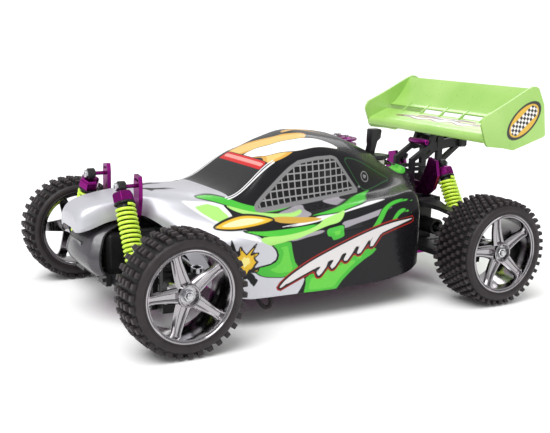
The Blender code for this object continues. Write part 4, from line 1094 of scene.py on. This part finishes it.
def cooling_fins():
    """The cylinder head: thin round fins over the neck, with the button and its bolts on top."""
    x, y, _ = HEAD_HOLE
    base = 98.6
    profile = [(0, 0.05), (0, 13.4)]
    for fin in range(5):
        low = 2 + fin * 4.6
        profile += [(low, 13.4), (low + 0.1, 17.2), (low + 0.5, 17.5), (low + 1.5, 17.5), (low + 1.9, 17.2),
                    (low + 2.0, 13.4)]
    profile += [(23.0, 12.6), (23.6, 11.8), (23.6, 5.2), (22.2, 4.6), (22.2, 0.05)]
    fins = moved(upright(profile, 64), at(x, y, base))
    emit("cooling_head_finned", [fins], "anodised", "chassis", ["cooling_head"])
    bolt = [(0, 0.05), (0, 1.7), (1.4, 1.7), (1.7, 1.4), (1.7, 0.8), (1.0, 0.7), (1.0, 0.05)]
    bolts = []
    for a, b in regular(4, 8.6, math.pi / 4):
        bolts.append(moved(upright(bolt, 16), at(x + a, y + b, base + 23.5)))
    bolts.append(moved(prism(regular(6, 2.6), 0, 4), at(x, y, base + 22)))
    emit("cooling_head_bolts", bolts, "steel", "chassis")


def fuel_lid():
    """The tank's sprung lid: a rounded disc, its hinge, and a tall tab with a notched back."""
    x, y, z = joint_place("fuel_lid_hinge")
    reach = 12.0
    disc = upright([(0.05, 0.05), (0.05, 9.8), (0.5, 10.5), (3.2, 10.5), (4.0, 9.6), (4.0, 0.05)], 40)
    strap = block((x - 3.8, y - 6, z + 0.4), (x + 3.8, y + 0.8, z + 3.4))
    tab_side = [(-9, 11), (-9.5, 14.5), (-9.2, 24.2), (-8.2, 25), (0, 25), (1.4, 23.6), (0.6, 17),
                (-2.6, 14.5), (-3.6, 11), (-5.6, 3.2), (-11, 3.2)]
    tab = spanwise([(y - 5.2 + a, z + h) for a, h in tab_side], (x - 9.6, x - 2.2))
    emit("fuel_lid_tab", [moved(disc, at(x, y - reach, z)), strap, tab], "black_plastic", "fuel_lid",
         ["fuel_tank_lid"], bevel=0.5)


def hardware():
    """The wing mount's spacer, the screws of the rear tower, the body's clips and the left sill's loop."""
    spacer = revolve([(-12, 0.9), (-12, 2.3), (-11.4, 2.7), (11.4, 2.7), (12, 2.3), (12, 0.9)], 28)
    emit("wing_mount_spacer", [moved(spacer, at(0, 145, 118))], "anodised", "chassis")
    points, faces = upright([(0, 0.05), (0, 1.9), (1.0, 1.9), (1.5, 1.4), (1.5, 0.8), (0.8, 0.7),
                             (0.8, 0.05)], 16)
    screws = [(points[:, [0, 2, 1]] + (side * 18, 141, 79), faces) for side in (-1, 1)]
    emit("tower_screws", screws, "steel", "chassis")
    clip = [(60.2, 78, 68), (63, 84, 68.5), (67.4, 86.6, 67), (68.4, 86.8, 62), (68, 86.8, 52),
            (66.6, 86.4, 49)]
    for side in SIDES:
        emit(side + "_sill_clip", [tube(curve(clip, 6, False), 1.1, 8)], "grey_plastic", "chassis",
             side=SIDES[side])
    loop = [(64, -57, 24), (66, -56, 19), (69, -54, 13), (71, -51, 9.4), (72, -47.5, 9.6), (71.6, -46, 13.5),
            (70, -47, 19), (67, -48, 24)]
    emit("left_chassis_loop", [tube(curve(loop, 7, False), 1.5)], "rubber", "chassis")


bumper()
cooling_fins()
fuel_lid()
hardware()


# ---------------------------------------------------------------- studio


# The radius where the backdrop leaves the floor, the radius of its bend and the floor's half width, in metres
WALL_START, BEND, FLOOR_HALF = 3.0, 1.5, 8.0


def sweep():
    """A pale floor inside a round backdrop, which only the camera sees: it lights and mirrors nothing."""
    rings = []
    for t in np.linspace(0, 2 * math.pi, 96, endpoint=False):
        way, up = np.array([math.cos(t), math.sin(t), 0.0]), np.array([0, 0, 1.0])
        ring = [way * WALL_START - up * 0.01]
        for lift in np.linspace(0, math.pi / 2, 12)[1:]:
            ring.append(way * (WALL_START + BEND * math.sin(lift)) + up * BEND * (1 - math.cos(lift)))
        ring.append(way * (WALL_START + BEND) + up * 2 * BEND)
        rings.append(ring)
    points, faces = grid(rings, wrap_rows=True)
    wall = bpy.data.meshes.new("backdrop")
    wall.from_pydata(points.tolist(), [], faces)
    wall.shade_smooth()
    floor = bpy.data.meshes.new("floor")
    corners = [(a * FLOOR_HALF, b * FLOOR_HALF, 0) for a, b in ((-1, -1), (1, -1), (1, 1), (-1, 1))]
    floor.from_pydata(corners, [], [(0, 1, 2, 3)])
    paper = Shader("floor_paper", (0.95, 0.95, 0.95), Roughness=0.9, Specular_IOR_Level=0.1)
    paper.relief(paper.noise(3, 2), 0.01)
    for mesh, drop in ((floor, -0.0006), (wall, -0.0003)):
        mesh.materials.append(paper.material)
        obj = placed_object(mesh.name, mesh)
        obj.location.z = drop
        obj.visible_glossy = obj.visible_diffuse = obj.visible_shadow = mesh is floor


def studio():
    """Soft light from above, the front and both sides, on a white world."""
    sweep()
    world = bpy.data.worlds.new("studio")
    world.use_nodes = True
    world.node_tree.nodes["Background"].inputs["Color"].default_value = (1, 1, 1, 1)
    world.node_tree.nodes["Background"].inputs["Strength"].default_value = 0.62
    bpy.context.scene.world = world
    sun = bpy.data.lights.new("soft_overhead", "SUN")
    sun.energy, sun.angle = 2.1, math.radians(45)
    lamps = [(sun, (0.35, -0.5, 1.2))]
    for name, place, width, height, power in (
        ("key", (0.5, -0.9, 1.0), 0.7, 0.5, 4.0),
        ("fill", (1.3, 0.6, 0.5), 0.6, 0.6, 1.6),
        ("back", (-0.7, 0.8, 0.9), 0.9, 0.3, 3.0),
    ):
        lamp = bpy.data.lights.new(name, "AREA")
        lamp.shape, lamp.size, lamp.size_y, lamp.energy = "RECTANGLE", width, height, power
        lamps.append((lamp, place))
    for lamp, place in lamps:
        obj = placed_object(lamp.name, lamp)
        obj.location = place
        obj.rotation_euler = (Vector((0, 0, 0.06)) - Vector(place)).to_track_quat("-Z", "Y").to_euler()


# The view: towards the nose from the car's left side and above the floor in degrees, the roll, the lens
# in millimetres on a 36 mm sensor, and how far the camera stands from the point it looks at, in metres
HEADING, RISE, ROLL = 30.23, 11.63, 1.28
LENS = 61.5
DISTANCE = 0.75
TARGET = Vector((0.0261, -0.0350, 0.0675))


def camera():
    lens = bpy.data.cameras.new("camera")
    lens.sensor_width, lens.lens = 36.0, LENS
    obj = placed_object("camera", lens)
    heading, rise = math.radians(-HEADING), math.radians(RISE)
    back = Vector((math.cos(rise) * math.cos(heading), math.cos(rise) * math.sin(heading), math.sin(rise)))
    facing = back.to_track_quat("Z", "Y").to_matrix().to_4x4()
    obj.matrix_world = Matrix.Translation(TARGET + back * DISTANCE) @ facing @ turn(ROLL, "Z")
    bpy.context.scene.camera = obj


studio()
camera()
bpy.context.scene.view_settings.view_transform = "Standard"
